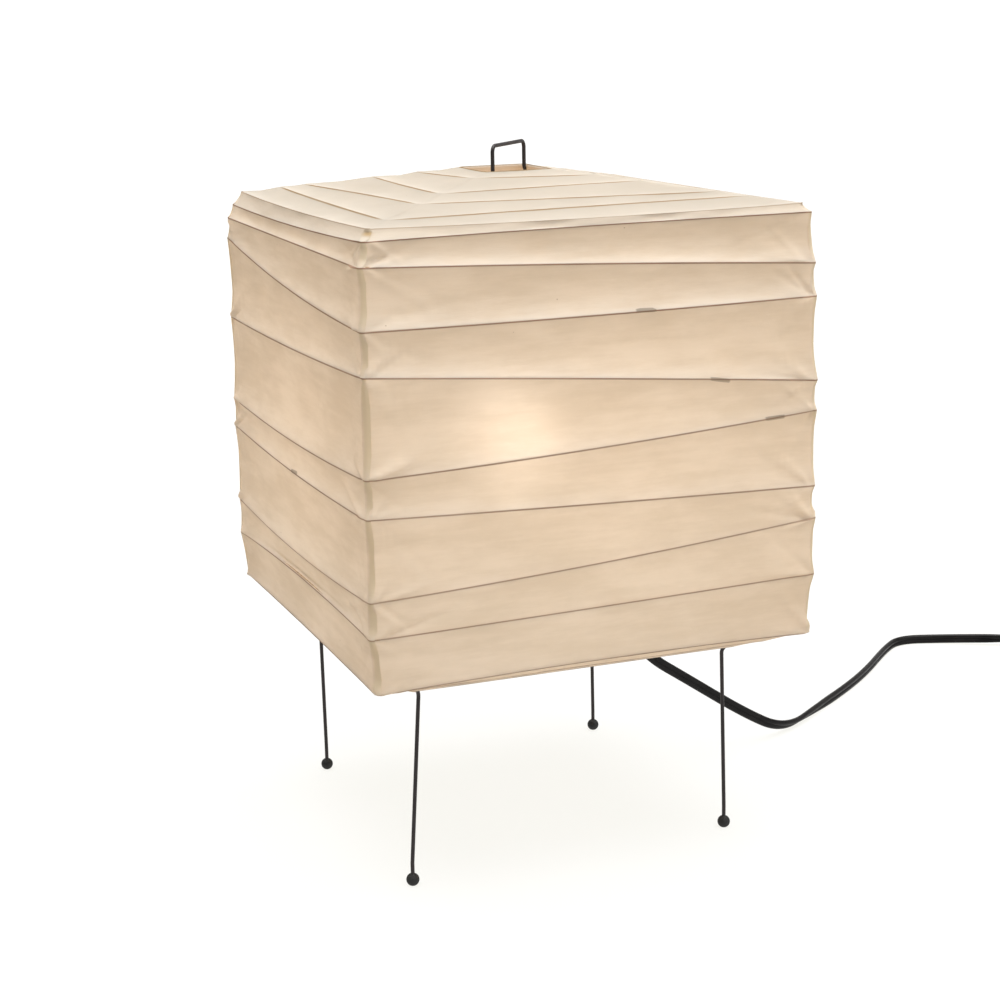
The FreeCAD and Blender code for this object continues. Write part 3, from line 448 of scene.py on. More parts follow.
def coil_route():
    """Control points of the put-away coil: wound in, up a layer and out again, then on to the plug."""
    start = Vector((*SWITCH_RUN[-1], SWITCH_LEVEL))
    heading = (start - Vector((*SWITCH_RUN[-2], SWITCH_LEVEL))).normalized()
    side = Vector((-heading.y, heading.x, 0))
    outlet = start + heading * SWITCH_LENGTH
    meet = outlet + heading * COIL_LEAD
    meet.z = COIL_LEVEL
    centre = meet - side * COIL_RADIUS
    points = [outlet, outlet + heading * CORD_WIDTH, (outlet + meet) / 2]
    total = 2 * COIL_TURNS + COIL_CLIMB
    inner = COIL_RADIUS - COIL_TURNS * COIL_PITCH
    for i in range(round(total * COIL_STEPS) + 1):
        turn = i / COIL_STEPS
        from_climb = abs(turn - total / 2)
        radius = inner + COIL_PITCH * max(0.0, from_climb - COIL_CLIMB / 2)
        climb = min(1.0, max(0.0, (turn - total / 2 + COIL_CLIMB / 2) / COIL_CLIMB))
        angle = -2 * math.pi * turn
        out = side * math.cos(angle) - heading * math.sin(angle)
        points.append(centre + out * radius + UP * COIL_LAYER * climb)
    away = heading * math.cos(2 * math.pi * total)
    last = points[-1]
    points += [last + away * PLUG_LEAD / 2, last + away * PLUG_LEAD]
    return points


lead_line = smooth_line(lead_route())
lead = flat_cord("flat_cord_lead", lead_line, CORD_TURNS)
coil_line = smooth_line(coil_route())
coil = flat_cord("flat_cord_coil", coil_line)


# Paper shade
def side_corners(side):
    """Corners at the left and the right end of a side, seen from outside."""
    return side, (side + 1) % len(CORNERS)


def side_ways(side):
    """Directions out of a side and along it to its left corner."""
    outward = sum(np.array(CORNERS[corner]) for corner in side_corners(side)) / 2
    return outward, np.array((outward[1], -outward[0]))


def hoop_corners(name):
    """Rod centre of a hoop at each corner, as (half width, height)."""
    points = to_points(name)
    places = []
    for (across, along), inward in zip(CORNERS, SET_IN.get(name, (0.0,) * len(CORNERS))):
        reach = (points[:, 0] * across + points[:, 1] * along) / math.sqrt(2)
        outermost = points[reach > reach.max() - ROD / 4]
        half = (reach.max() - ROD_BEND - ROD / 2) / math.sqrt(2) + ROD_BEND
        places.append((half - inward, float(outermost[:, 2].mean())))
    return places


def corner_outlines():
    """Outer paper of each corner where it meets the top rim, each hoop and the bottom rim."""
    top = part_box("paper_roof_front")
    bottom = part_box("paper_belly_front")
    hoops = [hoop_corners(name) for name in HOOPS]
    made = []
    for corner in range(len(CORNERS)):
        places = [np.array(hoop[corner]) for hoop in hoops]
        ends = [np.array((-top[1].y, top[1].z)), np.array((-bottom[1].y, bottom[0].z))]
        line = [ends[0]] + places + [ends[1]]
        outline = [ends[0]]
        for before, place, after in zip(line, line[1:], line[2:]):
            steps = [(b - a) / np.linalg.norm(b - a) for a, b in ((before, place), (place, after))]
            out = sum(np.array((-step[1], step[0])) for step in steps)
            outline.append(place + out / np.linalg.norm(out) * (ROD / 2 + PAPER_OVER_ROD))
        made.append(np.array(outline + [ends[1]]))
    return made


outlines = corner_outlines()


def lay_row(side, ends, slope, hang, angles, run, bend, flatness, shift):
    """Points across a side between its corners, which are given as (half width, height).

    The row is bent round both corners, flattened there into a strip, hangs between them by hang, also given
    as (half width, height), and is moved out of the sheet by shift.
    """
    outward, leftward = side_ways(side)
    first, last = ends
    sag = 4 * run * (1 - run)
    strip = math.cos(HALF_CORNER) / np.cos(np.abs(angles) - HALF_CORNER)
    reach = bend * (1 - flatness + flatness * strip) - slope[:, 1] * shift + hang[0] * sag
    aside = first[0] - bend - (first[0] + last[0] - 2 * bend) * run + np.sin(angles) * reach
    ahead = first[0] - bend + (last[0] - first[0]) * run + np.cos(angles) * reach
    height = first[1] + (last[1] - first[1]) * run + slope[:, 0] * shift + hang[1] * sag
    return np.column_stack([np.outer(aside, leftward) + np.outer(ahead, outward), height])


def columns(overlap):
    """Angles and shares across a side: round its left corner, along the straight, round its right corner."""
    arc = np.linspace(HALF_CORNER + overlap, 0, ARC_STEPS)
    even = np.linspace(0, 1, STRAIGHT_STEPS)[1:-1]
    straight = even - CROWDING * np.sin(2 * math.pi * even) / (2 * math.pi)
    angles = np.concatenate([arc, np.zeros(len(straight)), -arc[::-1]])
    run = np.concatenate([np.zeros(len(arc)), straight, np.ones(len(arc))])
    return angles, run


def rib_hang(side, station):
    """How far a rib hangs at the middle of a side, down the sheet, as (half width, height)."""
    if station in (0, BANDS):
        return np.zeros(2)
    lines = [outlines[corner] for corner in side_corners(side)]
    down = sum(line[station + 1] - line[station - 1] for line in lines)
    return down / np.linalg.norm(down) * HANG[SIDES[side]][station - 1]


def draw_profile(share, peak):
    """How far paper is drawn in between two ribs: 0 at each, 1 at its peak, steepest above the lower one."""
    rise = share / peak
    fall = np.clip((share - peak) / (1 - peak), 0, 1)
    return np.where(share < peak, rise * (2 - rise), 1 - fall ** FLARE_POWER)


def tent(share, peak):
    """Straight rise from 0 at a band's top to 1 at the peak, and straight fall to 0 at its foot."""
    return min(share / peak, (1 - share) / (1 - peak))


def row_shares(band):
    """Shares of the way down a band at which its rows lie, close together near its two ribs."""
    gap = np.mean([np.linalg.norm(line[band + 1] - line[band]) for line in outlines])
    scale = min(1.0, gap / ROOMY_GAP) / gap
    first = [distance * scale for distance in BELOW_RIB]
    last = [1 - distance * scale for distance in ABOVE_RIB]
    middle = np.linspace(first[-1], last[0], MIDDLE_ROWS + 2)[1:-1]
    return first + list(middle) + last + ([1.0] if band == BANDS - 1 else [])


def corner_pulls():
    """How far, and where, each band is drawn in at each corner."""
    rng = random.Random(SEED)
    return [[(rng.uniform(*CORNER_PULL), rng.uniform(*PULL_PLACE)) for _ in range(BANDS)] for _ in CORNERS]


pulls = corner_pulls()


def creases(rng, gaps, width):
    """Creases that run into a band of paper from its corners, as (start, way, length, height, breadth)."""
    found = []
    for end, gap in enumerate(gaps):
        if gap < CREASED_GAP:
            continue
        for from_foot in CREASE_FROM_FOOT:
            for _ in range(rng.choice(CREASE_COUNTS)):
                rise = math.radians(rng.uniform(*CREASE_RISE))
                length = min(rng.uniform(*CREASE_LENGTH), CREASE_SPAN * gap / math.sin(rise))
                across = rng.uniform(0.0, CREASE_ASIDE)
                start = (width - across if end else across, gap if from_foot else 0.0)
                way = (math.cos(rise) * (-1 if end else 1), math.sin(rise) * (-1 if from_foot else 1))
                height = rng.uniform(*CREASE_HEIGHT) * rng.choice(CREASE_WAYS)
                found.append((start, way, length, height, rng.uniform(*CREASE_BREADTH)))
    return found


def crease_heights(found, across, down):
    """Height of the creases over places across and down a band."""
    total = np.zeros_like(across)
    for (x, y), (dx, dy), length, height, breadth in found:
        along = ((across - x) * dx + (down - y) * dy) / length
        beside = np.abs((across - x) * dy - (down - y) * dx) / breadth
        fade = np.clip(along * CREASE_START, 0, 1) * np.clip(1 - along, 0, 1) ** CREASE_FADE
        total += height * fade * np.clip(1 - beside, 0, None) ** CREASE_RIDGE
    return total


def max_of(arrays):
    """Greatest of several arrays, place by place."""
    return np.max(list(arrays), axis=0)


def wave_set(rng):
    """Slow waves of hand-laid paper, as (length, lean, start)."""
    return [(rng.uniform(*WAVE_LENGTH), rng.uniform(-WAVE_LEAN, WAVE_LEAN), rng.uniform(0, 2 * math.pi))
            for _ in range(2 * WAVE_PAIRS)]


def wave_heights(waves, across, down):
    """Mean height of the waves over places across and down a band, between -1 and 1."""
    return sum(np.sin(2 * math.pi * (across + down * lean) / length + start)
               for length, lean, start in waves) / len(waves)


def paper_shift(side, band, share, gap, draw, found, waves, across, from_ends):
    """How far a row of paper stands out of the flat sheet between two ribs."""
    inside = from_ends.min(axis=0)
    slow, quick, spread_out = (wave_heights(waves[2 * i:2 * i + 2], across, 0.0) for i in range(WAVE_PAIRS))
    profile = draw_profile(share, DRAW_PEAK + PEAK_SWAY * slow)
    fade = 1 - np.exp(-(inside / DRAW_FADE) ** FADE_POWER)
    drawn = DRAWN_FRONT if SIDES[side] == "front" else DRAWN
    shift = -draw * (1 + DRAW_SWAY * quick) * drawn[band] * profile * fade
    fold, place, breadth = DEEP_FOLDS.get((SIDES[side], band), NO_FOLD)
    deep = math.exp(-((share - place) / breadth) ** 2)
    shift -= fold * deep * np.sin(math.pi * across / across.max()) ** 2
    for corner, away in zip(side_corners(side), from_ends):
        pull, peak = pulls[corner][band]
        shift -= min(pull, PULL_SHARE * gap.min()) * tent(share, peak) * np.exp(-away / CORNER_REACH)
    shift += crease_heights(found, across, gap * share)
    shift += wave_heights(waves, across, gap * share) * WAVE * profile * (1 - np.exp(-inside / WAVE_REACH))
    layer = LAYER if band >= EAVES else HIP_LAYER
    shift += layer * (np.exp(-from_ends[1] / LAYER_REACH) - np.exp(-from_ends[0] / LAYER_REACH))
    return shift + BAND_WAVE * WAVE * spread_out * profile * fade


def splice_mark(side, station, across, down):
    """How near places are to the thick splice of a rib: 0 at its edge and 1 at its middle."""
    where, place, lean, lift = splices.get(station, NO_SPLICE)
    if where != side:
        return np.full_like(across, -1.0)
    along = across - place
    away = np.abs(down - lift - lean * along) / SPLICE_THICK
    return np.clip(1 - np.maximum(np.abs(along) / SPLICE_HALF, away), -1, 1)


def top_rows(side, angles, run):
    """Rows of paper turned in over the wire of the top rim."""
    low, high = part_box("top_rim")
    radius = (high.z - low.z) / 2
    centre = np.array((high.x - radius, (low.z + high.z) / 2))
    level = np.tile((0.0, -1.0), (len(run), 1))
    flat = np.zeros(len(run))
    reach = radius + TOP_EDGE
    places = [centre + (-reach, -TOP_TUCK)]
    for turn in np.radians(TOP_TURNS):
        places.append(centre + reach * np.array((math.cos(turn), math.sin(turn))))
    return [lay_row(side, (place, place), level, np.zeros(2), angles, run, STRIP_BEND, 0.0, flat)
            for place in places]


def top_marks(rows, count):
    """Marks of the rows that are turned in over the top rim: a painted shade line along the rim's outer edge,
    and a painted glow.
    """
    plain = {"below": NEAR_RIB, "above": NEAR_RIB, "right": NEAR_CORNER, "roof": 1.0, "rod_shade": 0.0,
             "stain": 0.0, "splice": -1.0, "lap_and_highlight": 0.0}
    marks = {name: [np.full(count, value)] * rows for name, value in plain.items()}
    # The rows turned in at the top take a painted orange glow
    marks["inner"] = [np.full(count, value) for value in TOP_PAINTED_GLOW]
    # The last rows over the rim take a painted shade line along its edge
    for row in range(rows - TOP_SHADED_ROWS, rows):
        marks["below"][row] = np.zeros(count)
        marks["rod_shade"][row] = np.full(count, RIM_SHADE)
    return marks


def row_bend(band, share):
    """Radius of the bend at the two ends of a row, tightest on the crest of an upright rib."""
    if band < EAVES:
        return HIP_BEND
    near_crest = min(1.0, CREST_STEEP * share, CREST_STEEP * (1 - share)) if band < LOWER else 1.0
    return CREST_BEND + (STRIP_BEND - CREST_BEND) * near_crest


def row_places(bend, width, angles, run):
    """How far each point of a row lies from the left corner, along the sheet."""
    round_left = run < 0.5
    at_bends = bend * (1 - np.abs(angles)) * np.where(round_left, 1, -1) + np.where(round_left, 0, width)
    return np.where(angles == 0, bend + (width - 2 * bend) * run, at_bends)


def row_marks(side, band, share, gap, across, from_ends):
    """Marks of a row: how near its points are to ribs, corners, splices, laps with their painted highlight,
    and stains.
    """
    count = len(across)
    inside = from_ends.min(axis=0)
    to_foot = gap * (1 - share)
    below = gap * share * (ROOF_LINE if band < EAVES else 1.0)
    if band >= LOWER - 1:
        below = np.minimum(below, to_foot) * (BELLY_LINE if band >= LOWER else 1.0)
    # How dark the painted shadow of the rib, or of the top rim, is
    rod_shade = RIB_SHADE[band - 1] if band else RIM_SHADE
    hips = np.clip((inside - HIP_CLEAR) / HIP_FADE, 0, 1) if 0 < band < EAVES else np.ones(count)
    # The eaves band takes part of the roof's painted shade
    roof = EAVES_SHADE if band == EAVES else float(band < EAVES)
    highlight_bands = LAP_HIGHLIGHT_BANDS_FRONT if SIDES[side] == "front" else LAP_HIGHLIGHT_BANDS
    spot = math.exp(-((share - STAIN_PLACE) / STAIN_BREADTH) ** 2) if band == EAVES else 0.0
    stains = max_of(CORNER_STAINS[corner] * np.exp(-(away / STAIN_REACH) ** 2)
                    for corner, away in zip(side_corners(side), from_ends))
    return {
        "below": np.minimum(below, NEAR_RIB),
        "above": np.minimum(to_foot, NEAR_RIB) if share else np.zeros(count),
        "right": np.minimum(from_ends[1], NEAR_CORNER),
        "roof": np.full(count, roof),
        "rod_shade": rod_shade * hips,
        "stain": spot * stains,
        "splice": np.maximum(splice_mark(side, band, across, gap * share),
                             splice_mark(side, band + 1, across, gap * (share - 1))),
        "lap_and_highlight": highlight_bands[band] * np.exp(-to_foot / LAP_REACH),
        "inner": np.zeros(count),
    }


def gore(side):
    """One gore of paper: roof, side and belly in one sheet, laid over the next one at its right corner."""
    rng = random.Random(SEED + side)
    lines = [outlines[corner] for corner in side_corners(side)]
    side_angles, run = columns(OVERLAP_ANGLE)
    hip_angles = columns(HIP_OVERLAP)[0]
    count = len(run)
    rows = top_rows(side, hip_angles, run)
    marks = top_marks(len(rows), count)
    for band in range(BANDS):
        upright = EAVES <= band < LOWER
        angles = side_angles if band >= EAVES else hip_angles
        spans = [line[band + 1] - line[band] for line in lines]
        gaps = [np.linalg.norm(span) for span in spans]
        draws = [min(SIDE_DRAW if upright else ROOF_DRAW, DRAW_SHARE * gap) for gap in gaps]
        found = creases(rng, gaps, lines[0][band][0] + lines[1][band][0]) if upright else []
        waves = wave_set(rng)
        gap = gaps[0] + (gaps[1] - gaps[0]) * run
        draw = draws[0] + (draws[1] - draws[0]) * run
        slope = np.outer(1 - run, spans[0] / gaps[0]) + np.outer(run, spans[1] / gaps[1])
        slope /= np.linalg.norm(slope, axis=1)[:, None]
        for share in row_shares(band):
            ends = [line[band] + span * share for line, span in zip(lines, spans)]
            width = ends[0][0] + ends[1][0]
            bend = row_bend(band, share)
            across = row_places(bend, width, angles, run)
            from_ends = np.clip(np.array((across, width - across)), 0, None)
            shift = paper_shift(side, band, share, gap, draw, found, waves, across, from_ends)
            hang = rib_hang(side, band) * (1 - share) + rib_hang(side, band + 1) * share
            flatness = min(1.0, STRIP_STEEP * share, STRIP_STEEP * (1 - share)) if upright else 0.0
            rows.append(lay_row(side, ends, slope, hang, angles, run, bend, flatness, shift))
            for name, values in row_marks(side, band, share, gap, across, from_ends).items():
                marks[name].append(values)
    faces = [(i * count + j, (i + 1) * count + j, (i + 1) * count + j + 1, i * count + j + 1)
             for i in range(len(rows) - 1) for j in range(count - 1)]
    piece = new_mesh("paper_gore_" + SIDES[side], np.concatenate(rows), faces)
    for name, values in marks.items():
        attribute = piece.data.attributes.new(name, "FLOAT", "POINT")
        attribute.data.foreach_set("value", np.concatenate(values))
    return piece


# Bamboo ribs
def ring_line(index, hanging=True):
    """Middle line of a rib, once round, bent at the corners and hanging a little between them."""
    inward = EAVES_TUCK if index == EAVES - 1 else 0.0
    places = [np.array((half - inward, height)) for half, height in hoop_corners(HOOPS[index])]
    angles, run = columns(0.0)
    line = []
    level = np.tile((0.0, -1.0), (len(run), 1))
    for side in range(len(SIDES)):
        ends = [places[corner] for corner in side_corners(side)]
        hang = rib_hang(side, index + 1) if hanging else np.zeros(2)
        line.append(lay_row(side, ends, level, hang, angles, run, ROD_BEND, 0.0, np.zeros(len(run)))[:-1])
    return np.concatenate(line)


def bent_rod(name, line, radius, closed):
    """Round rod along a line of points."""
    count = len(line)
    after = np.roll(line, -1, axis=0) if closed else np.vstack([line[1:], 2 * line[-1] - line[-2]])
    before = np.roll(line, 1, axis=0) if closed else np.vstack([2 * line[0] - line[1], line[:-1]])
    along = after - before
    along /= np.linalg.norm(along, axis=1)[:, None]
    across = np.cross(along, (0, 0, 1))
    across /= np.linalg.norm(across, axis=1)[:, None]
    upward = np.cross(across, along)
    turns = np.arange(ROD_SIDES) * 2 * math.pi / ROD_SIDES
    points = line[:, None, :] + radius * (across[:, None, :] * np.cos(turns)[None, :, None]
                                          + upward[:, None, :] * np.sin(turns)[None, :, None])
    faces = []
    for i in range(count if closed else count - 1):
        for j in range(ROD_SIDES):
            k, n = (j + 1) % ROD_SIDES, (i + 1) % count
            faces.append((i * ROD_SIDES + j, n * ROD_SIDES + j, n * ROD_SIDES + k, i * ROD_SIDES + k))
    if not closed:
        faces.append(tuple(range(ROD_SIDES)))
        faces.append(tuple((count - 1) * ROD_SIDES + j for j in range(ROD_SIDES))[::-1])
    return new_mesh(name, points.reshape(-1, 3), faces)


def splint_places():
    """Point along each rib's line that is nearest to the middle of its splint in the solids."""
    points = to_points("hoop_splints")
    straight = [ring_line(index, False) for index in range(len(HOOPS))]
    away = np.array([np.linalg.norm(points[:, None] - line[None], axis=2).min(axis=1) for line in straight])
    nearest = away.argmin(axis=0)
    middles = [points[nearest == index].mean(axis=0) for index in range(len(HOOPS))]
    return [int(np.linalg.norm(line - middle, axis=1).argmin()) for line, middle in zip(straight, middles)]


def splint(index, line, place):
    """Short second rod beside a rib, where its two ends meet."""
    walked = np.concatenate([[0.0], np.cumsum(np.linalg.norm(np.diff(line, axis=0), axis=1))])
    at = walked[place] + np.linspace(-SPLICE_HALF, SPLICE_HALF, SPLINT_STEPS)
    middle = np.column_stack([np.interp(at, walked, line[:, axis]) for axis in range(3)])
    inward = -middle * (1, 1, 0)
    inward /= np.linalg.norm(inward, axis=1)[:, None]
    name = HOOPS[index].replace("hoop", "bamboo_splint")
    return bent_rod(name, middle + inward * ROD_SHOWN, ROD_SHOWN / 2, False)


rib_lines = [ring_line(index) for index in range(len(HOOPS))]
rods = [bent_rod(name.replace("hoop", "bamboo_rib"), line, ROD_SHOWN / 2, True)
        for name, line in zip(HOOPS, rib_lines)]
splint_ats = splint_places()
splints = [splint(index, line, place) for index, (line, place) in enumerate(zip(rib_lines, splint_ats))]


def rib_splices():
    """Splice of each rib by its station: its side, its place across, its lean and its lift."""
    rng = random.Random(SEED)
    found = {}
    for index, (line, place) in enumerate(zip(rib_lines, splint_ats)):
        side = place * len(SIDES) // len(line)
        aside = float(line[place][:2] @ side_ways(side)[1])
        half = outlines[side][index + 1][0]
        if HOOPS[index] in SPLICES_SHOWN or SIDES[side] in HIDDEN_SIDES:
            lean = rng.uniform(-SPLICE_LEAN, SPLICE_LEAN)
            found[index + 1] = (side, half - aside, lean, rng.uniform(*SPLICE_LIFT))
    return found


splices = rib_splices()
gores = [gore(side) for side in range(len(SIDES))]


# Materials
def new_material(name):
    """Empty node material and its output."""
    made = bpy.data.materials.new(name)
    made.use_nodes = True
    made.node_tree.nodes.clear()
    return made, made.node_tree, made.node_tree.nodes.new("ShaderNodeOutputMaterial")


def set_socket(tree, socket, value):
    """Give an input its value, or link it to another node's socket."""
    if isinstance(value, bpy.types.NodeSocket):
        tree.links.new(value, socket)
    else:
        socket.default_value = value


def add(tree, kind, inputs=None, **settings):
    """Shader node with its settings and input values; an input may be another node's socket."""
    made = tree.nodes.new("ShaderNode" + kind)
    for key, value in settings.items():
        setattr(made, key, value)
    for key, value in (inputs or {}).items():
        set_socket(tree, made.inputs[key], value)
    return made


def object_noise(tree, scale, detail, stretch=(1, 1, 1), roughness=0.55):
    """Noise over the object's own coordinates."""
    place = add(tree, "TexCoord").outputs["Object"]
    place = add(tree, "Mapping", {"Vector": place, "Scale": stretch}).outputs["Vector"]
    return add(tree, "TexNoise", {"Vector": place, "Scale": scale, "Detail": detail,
                                  "Roughness": roughness}).outputs["Fac"]


def spread(tree, value, low, high, to_low=0.0, to_high=1.0):
    """Value spread from one range to another, with soft ends."""
    made = add(tree, "MapRange", {"Value": value, "From Min": low, "From Max": high, "To Min": to_low,
                                  "To Max": to_high}, interpolation_type="SMOOTHSTEP")
    return made.outputs["Result"]


def math_of(tree, operation, first, second=0.0):
    """Result of a math node."""
    return add(tree, "Math", {0: first, 1: second}, operation=operation).outputs["Value"]


def blend_colours(tree, factor, first, second):
    """Colour between two colours, each a colour or a socket."""
    made = add(tree, "Mix", data_type="RGBA")
    colours = [socket for socket in made.inputs if socket.type == "RGBA"]
    for socket, value in zip((made.inputs["Factor"], *colours), (factor, first, second)):
        set_socket(tree, socket, value)
    return next(socket for socket in made.outputs if socket.type == "RGBA")


def bumped(tree, height, strength, distance):
    """Normal roughened by a height."""
    return add(tree, "Bump", {"Height": height, "Strength": strength, "Distance": distance}).outputs["Normal"]


def plain_finish(name, dark, light, roughness, metal=0.0, grain=900.0, specular=0.5):
    """Moulded, painted or metal surface: two tones of one colour, uneven gloss and a fine grain."""
    made, tree, output = new_material(name)
    mottle = object_noise(tree, grain / MOTTLE_TIMES, MOTTLE_DETAIL)
    fine = object_noise(tree, grain, GRAIN_DETAIL)
    colour = blend_colours(tree, spread(tree, mottle, *MOTTLE_TONES), (*dark, 1), (*light, 1))
    gloss = spread(tree, mottle, *MOTTLE_GLOSS, roughness * GLOSS_LOW, min(1.0, roughness * GLOSS_HIGH))
    surface = add(tree, "BsdfPrincipled", {
        "Base Color": colour, "Roughness": gloss, "Metallic": metal, "Specular IOR Level": specular,
        "Normal": bumped(tree, fine, GRAIN_STRENGTH, GRAIN_DEPTH)})
    tree.links.new(surface.outputs["BSDF"], output.inputs["Surface"])
    return made


def mark(tree, name):
    """Value of one of the paper's marks."""
    return add(tree, "Attribute", attribute_name=name).outputs["Fac"]


def paper_finish():
    """Washi: long laid fibres, clouds and specks, ribs and splices that show through as painted shadows,
    pasted seams, pale laps partly painted as a highlight, painted shade on the roof and a painted glow where
    it turns in at the top.
    """
    made, tree, output = new_material("washi_paper")
    clouds = object_noise(tree, *CLOUDS)
    streaks = object_noise(tree, *STREAKS)
    fibres = object_noise(tree, *FIBRES)
    tone = math_of(tree, "ADD", math_of(tree, "MULTIPLY", clouds, CLOUD_SHARE),
                   math_of(tree, "MULTIPLY", streaks, STREAK_SHARE))
    tone = spread(tree, tone, *TONE_RANGE)
    front = blend_colours(tree, tone, PAPER_DARK, PAPER_LIGHT)
    through = blend_colours(tree, tone, GLOW_DARK, GLOW_LIGHT)
    front = blend_colours(tree, spread(tree, fibres, *FIBRE_RANGE), front, PAPER_FIBRE)
    # The roof takes darker copies of the paper and its glow: painted shade
    roof = mark(tree, "roof")
    roof_shade = math_of(tree, "MULTIPLY", roof, ROOF_SHADE_SHARE)
    front = blend_colours(tree, roof_shade, front, PAPER_ROOF_SHADED)
    through = blend_colours(tree, roof_shade, through, GLOW_SHADED)

    ragged = math_of(tree, "ADD", mark(tree, "right"), math_of(tree, "MULTIPLY", clouds, SEAM_RAGGED))
    seam = spread(tree, ragged, *SEAM_EDGE)
    seam = math_of(tree, "MULTIPLY", seam, spread(tree, mark(tree, "above"), *SEAM_FADE))
    seam = math_of(tree, "MULTIPLY", seam, spread(tree, roof, *SEAM_ROOF))
    front = blend_colours(tree, seam, front, PAPER_SEAM)
    through = blend_colours(tree, seam, through, GLOW_SEAM)

    # Pale lap above each rib, partly a painted highlight, with less glow through it
    lap_and_highlight = math_of(tree, "MULTIPLY", mark(tree, "lap_and_highlight"), spread(tree, streaks, *LAP_PATCHES))
    front = blend_colours(tree, math_of(tree, "MULTIPLY", lap_and_highlight, LAP_HIGHLIGHT_SHARE), front, PAPER_LAP_HIGHLIGHT)
    through = blend_colours(tree, math_of(tree, "MULTIPLY", lap_and_highlight, LAP_THROUGH), through, GLOW_SHADED)

    # Painted shadow of each rib along its underside, and of each splice, where the rod blocks the lamp's
    # light behind the paper
    patchy = spread(tree, streaks, *SHADE_PATCHES)
    line = math_of(tree, "MAXIMUM", spread(tree, mark(tree, "below"), *RIB_LINE),
                   spread(tree, mark(tree, "above"), *RIB_TOP))
    line = math_of(tree, "MULTIPLY", line, mark(tree, "rod_shade"))
    line = math_of(tree, "MULTIPLY", line, patchy)
    # Thicker painted shadow where a splint lies beside the rib
    splice = math_of(tree, "MULTIPLY", spread(tree, mark(tree, "splice"), *SPLICE_EDGE), patchy)
    brown = blend_colours(tree, roof, RIB_SHADE_BROWN, ROOF_RIB_SHADE_BROWN)
    front = blend_colours(tree, splice, blend_colours(tree, line, front, brown), SPLICE_SHADE_BROWN)
    through = blend_colours(tree, splice, blend_colours(tree, line, through, brown), SPLICE_SHADE_BROWN)

    place = add(tree, "TexCoord").outputs["Object"]
    dots = add(tree, "TexVoronoi", {"Vector": place, "Scale": SPECK_SCALE}).outputs["Distance"]
    front = blend_colours(tree, spread(tree, dots, *SPECK_EDGE), front, PAPER_SPECK)
    front = blend_colours(tree, spread(tree, mark(tree, "stain"), *STAIN_EDGE), front, PAPER_STAIN)

    relief = math_of(tree, "ADD", math_of(tree, "MULTIPLY", fibres, FIBRE_RELIEF), streaks)
    normal = bumped(tree, relief, *PAPER_RELIEF)
    # The paper turned in at the top glows orange: painted lamplight
    sheet = add(tree, "BsdfPrincipled", {
        "Base Color": front, "Roughness": PAPER_ROUGH, "Specular IOR Level": PAPER_GLOSS, "IOR": PAPER_BEND,
        "Transmission Weight": PAPER_CLEAR, "Emission Color": PAINTED_GLOW_ORANGE,
        "Emission Strength": spread(tree, mark(tree, "inner"), 0.0, 1.0, 0.0, PAINTED_GLOW_STRENGTH), "Normal": normal})
    glow = add(tree, "BsdfTranslucent", {"Color": through, "Normal": normal})
    mixed = add(tree, "MixShader", {"Fac": PAPER_THROUGH, 1: sheet.outputs["BSDF"], 2: glow.outputs["BSDF"]})
    tree.links.new(mixed.outputs["Shader"], output.inputs["Surface"])
    return made


def bamboo_finish():
    """Split bamboo: fine grain along the rod and darker nodes."""
    made, tree, output = new_material("bamboo")
    grain = object_noise(tree, *BAMBOO_GRAIN)
    patches = object_noise(tree, *BAMBOO_PATCHES)
    colour = blend_colours(tree, spread(tree, grain, *BAMBOO_TONES), BAMBOO_DARK, BAMBOO_LIGHT)
    colour = blend_colours(tree, spread(tree, patches, *BAMBOO_NODES), colour, BAMBOO_NODE)
    surface = add(tree, "BsdfPrincipled", {
        "Base Color": colour, "Roughness": BAMBOO_ROUGH, "Normal": bumped(tree, grain, *BAMBOO_RELIEF)})
    tree.links.new(surface.outputs["BSDF"], output.inputs["Surface"])
    return made


def bulb_finish():
    """Lit opal glass, brightest round its middle."""
    made, tree, output = new_material("opal_glass")
    colour = blend_colours(tree, object_noise(tree, *GLASS_CLOUD), BULB_DEEP, BULB_WARM)
    low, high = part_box("bulb_globe")
    middle = high.z - (high.x - low.x) / 2 + BULB_RISE
    place = add(tree, "TexCoord").outputs["Object"]
    height = add(tree, "SeparateXYZ", {"Vector": place}).outputs["Z"]
    away = math_of(tree, "ABSOLUTE", math_of(tree, "SUBTRACT", height, middle))
    surface = add(tree, "BsdfPrincipled", {
        "Base Color": GLASS_WHITE, "Roughness": GLASS_ROUGH, "Emission Color": colour,
        "Emission Strength": spread(tree, away, *BULB_CORE)})
    tree.links.new(surface.outputs["BSDF"], output.inputs["Surface"])
    return made


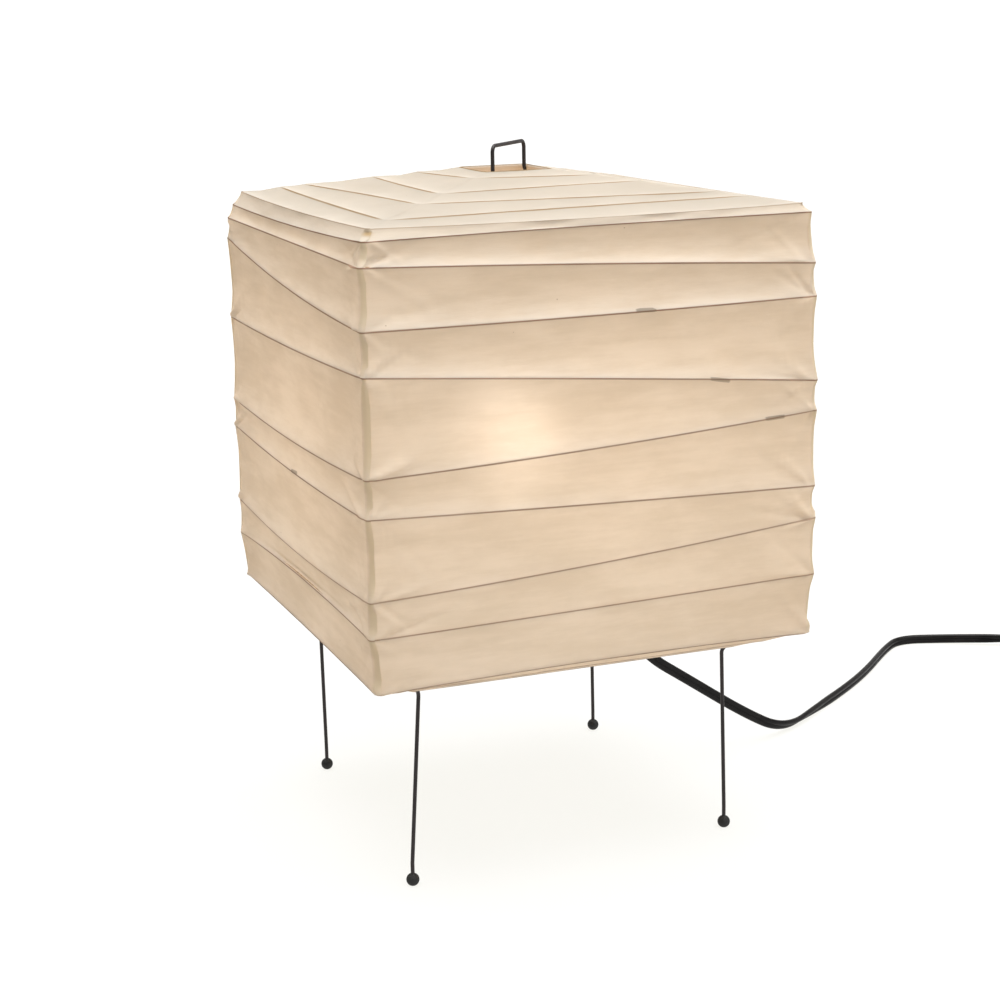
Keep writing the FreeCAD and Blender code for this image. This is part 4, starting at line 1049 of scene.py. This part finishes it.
# Two tones of each plain finish, its roughness, and what else sets it apart
PLAIN = {
    "black_wire": ((0.012, 0.008, 0.008), (0.024, 0.018, 0.018), 0.50, {"grain": 1400, "specular": 0.35}),
    "foot_rubber": ((0.008, 0.008, 0.008), (0.016, 0.016, 0.015), 0.62, {"grain": 1100, "specular": 0.35}),
    "zinc_steel": ((0.50, 0.50, 0.48), (0.66, 0.66, 0.64), 0.34, {"metal": 1.0, "grain": 600}),
    "holder_plastic": ((0.012, 0.011, 0.010), (0.030, 0.028, 0.026), 0.40, {}),
    "brass": ((0.62, 0.44, 0.16), (0.78, 0.58, 0.26), 0.28, {"metal": 1.0, "grain": 700}),
    "solder": ((0.42, 0.42, 0.41), (0.58, 0.58, 0.56), 0.45, {"metal": 1.0, "grain": 1200}),
    "black_glass": ((0.012, 0.008, 0.012), (0.03, 0.02, 0.03), 0.12, {}),
    "aluminium": ((0.62, 0.62, 0.63), (0.76, 0.76, 0.77), 0.30, {"metal": 1.0, "grain": 800}),
    "cord_plastic": ((0.004, 0.0035, 0.0035), (0.009, 0.008, 0.008), 0.38, {"specular": 0.14}),
    "switch_plastic": ((0.012, 0.012, 0.012), (0.026, 0.026, 0.026), 0.45, {}),
}
FINISHES = {"washi_paper": paper_finish(), "bamboo": bamboo_finish(), "opal_glass": bulb_finish()}
for name, (dark, light, roughness, others) in PLAIN.items():
    FINISHES[name] = plain_finish(name, dark, light, roughness, **others)


def finish_nodes():
    """Give every node of the frame the finish of its slot."""
    for subpart in frame["record"]["subparts"]:
        for slot in nodes[subpart["node"]].material_slots:
            slot.material = FINISHES[subpart["material_slot"]]


def finish_piece(piece, slot):
    """Give a new piece its finish, and let it ride on the lamp."""
    piece.data.materials.append(FINISHES[slot])
    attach(piece, "lamp")


finish_nodes()
for side, piece in zip(SIDES, gores):
    finish_piece(piece, "washi_paper")
    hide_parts("paper_roof_" + side, "paper_side_" + side, "paper_belly_" + side)

for name, piece in zip(HOOPS, rods):
    finish_piece(piece, "bamboo")
    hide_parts(name)
for piece in splints:
    finish_piece(piece, "bamboo")
    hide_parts("hoop_splints")

finish_piece(lead, "cord_plastic")
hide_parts("cord_lead")
finish_piece(coil, "cord_plastic")
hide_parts("cord_coil")


# Studio
def build_floor():
    """Plain pale floor, glowing evenly, with warm lamplight painted into its shade."""
    points = [(x * FLOOR_SIZE, y * FLOOR_SIZE, 0) for x, y in CORNERS]
    floor = new_mesh("floor", points, [tuple(range(len(points)))])
    made, tree, output = new_material("floor")
    surface = add(tree, "BsdfPrincipled", {
        "Base Color": FLOOR_TONE, "Roughness": FLOOR_ROUGH, "Specular IOR Level": FLOOR_GLOSS,
        "Emission Color": FLOOR_GLOW, "Emission Strength": FLOOR_LIFT})
    tree.links.new(surface.outputs["BSDF"], output.inputs["Surface"])
    floor.data.materials.append(made)


def light_studio():
    """Soft white studio: a broad panel above, one to the front and right, and a pale backdrop."""
    world = bpy.data.worlds.new("studio")
    world.use_nodes = True
    tree = world.node_tree
    way = add(tree, "TexCoord").outputs["Generated"]
    parts = add(tree, "SeparateXYZ", {"Vector": way}).outputs
    above = spread(tree, parts["Z"], *SKY_ABOVE)
    behind = spread(tree, parts["Y"], *SKY_BEHIND)
    behind = math_of(tree, "MULTIPLY", behind, spread(tree, parts["Z"], *SKY_BEHIND_TOP))
    toward = add(tree, "VectorMath", {0: way, 1: Vector(FRONT_LIGHT).normalized()}, operation="DOT_PRODUCT")
    front = spread(tree, toward.outputs["Value"], *SKY_FRONT)
    low = spread(tree, parts["X"], *SKY_LOW)
    total = math_of(tree, "ADD", math_of(tree, "ADD", above, behind), math_of(tree, "ADD", front, low))
    sky = tree.nodes["Background"]
    sky.inputs["Color"].default_value = SKY_WHITE
    tree.links.new(total, sky.inputs["Strength"])
    bpy.context.scene.world = world
    bpy.context.scene.view_settings.view_transform = "Standard"


build_floor()
light_studio()
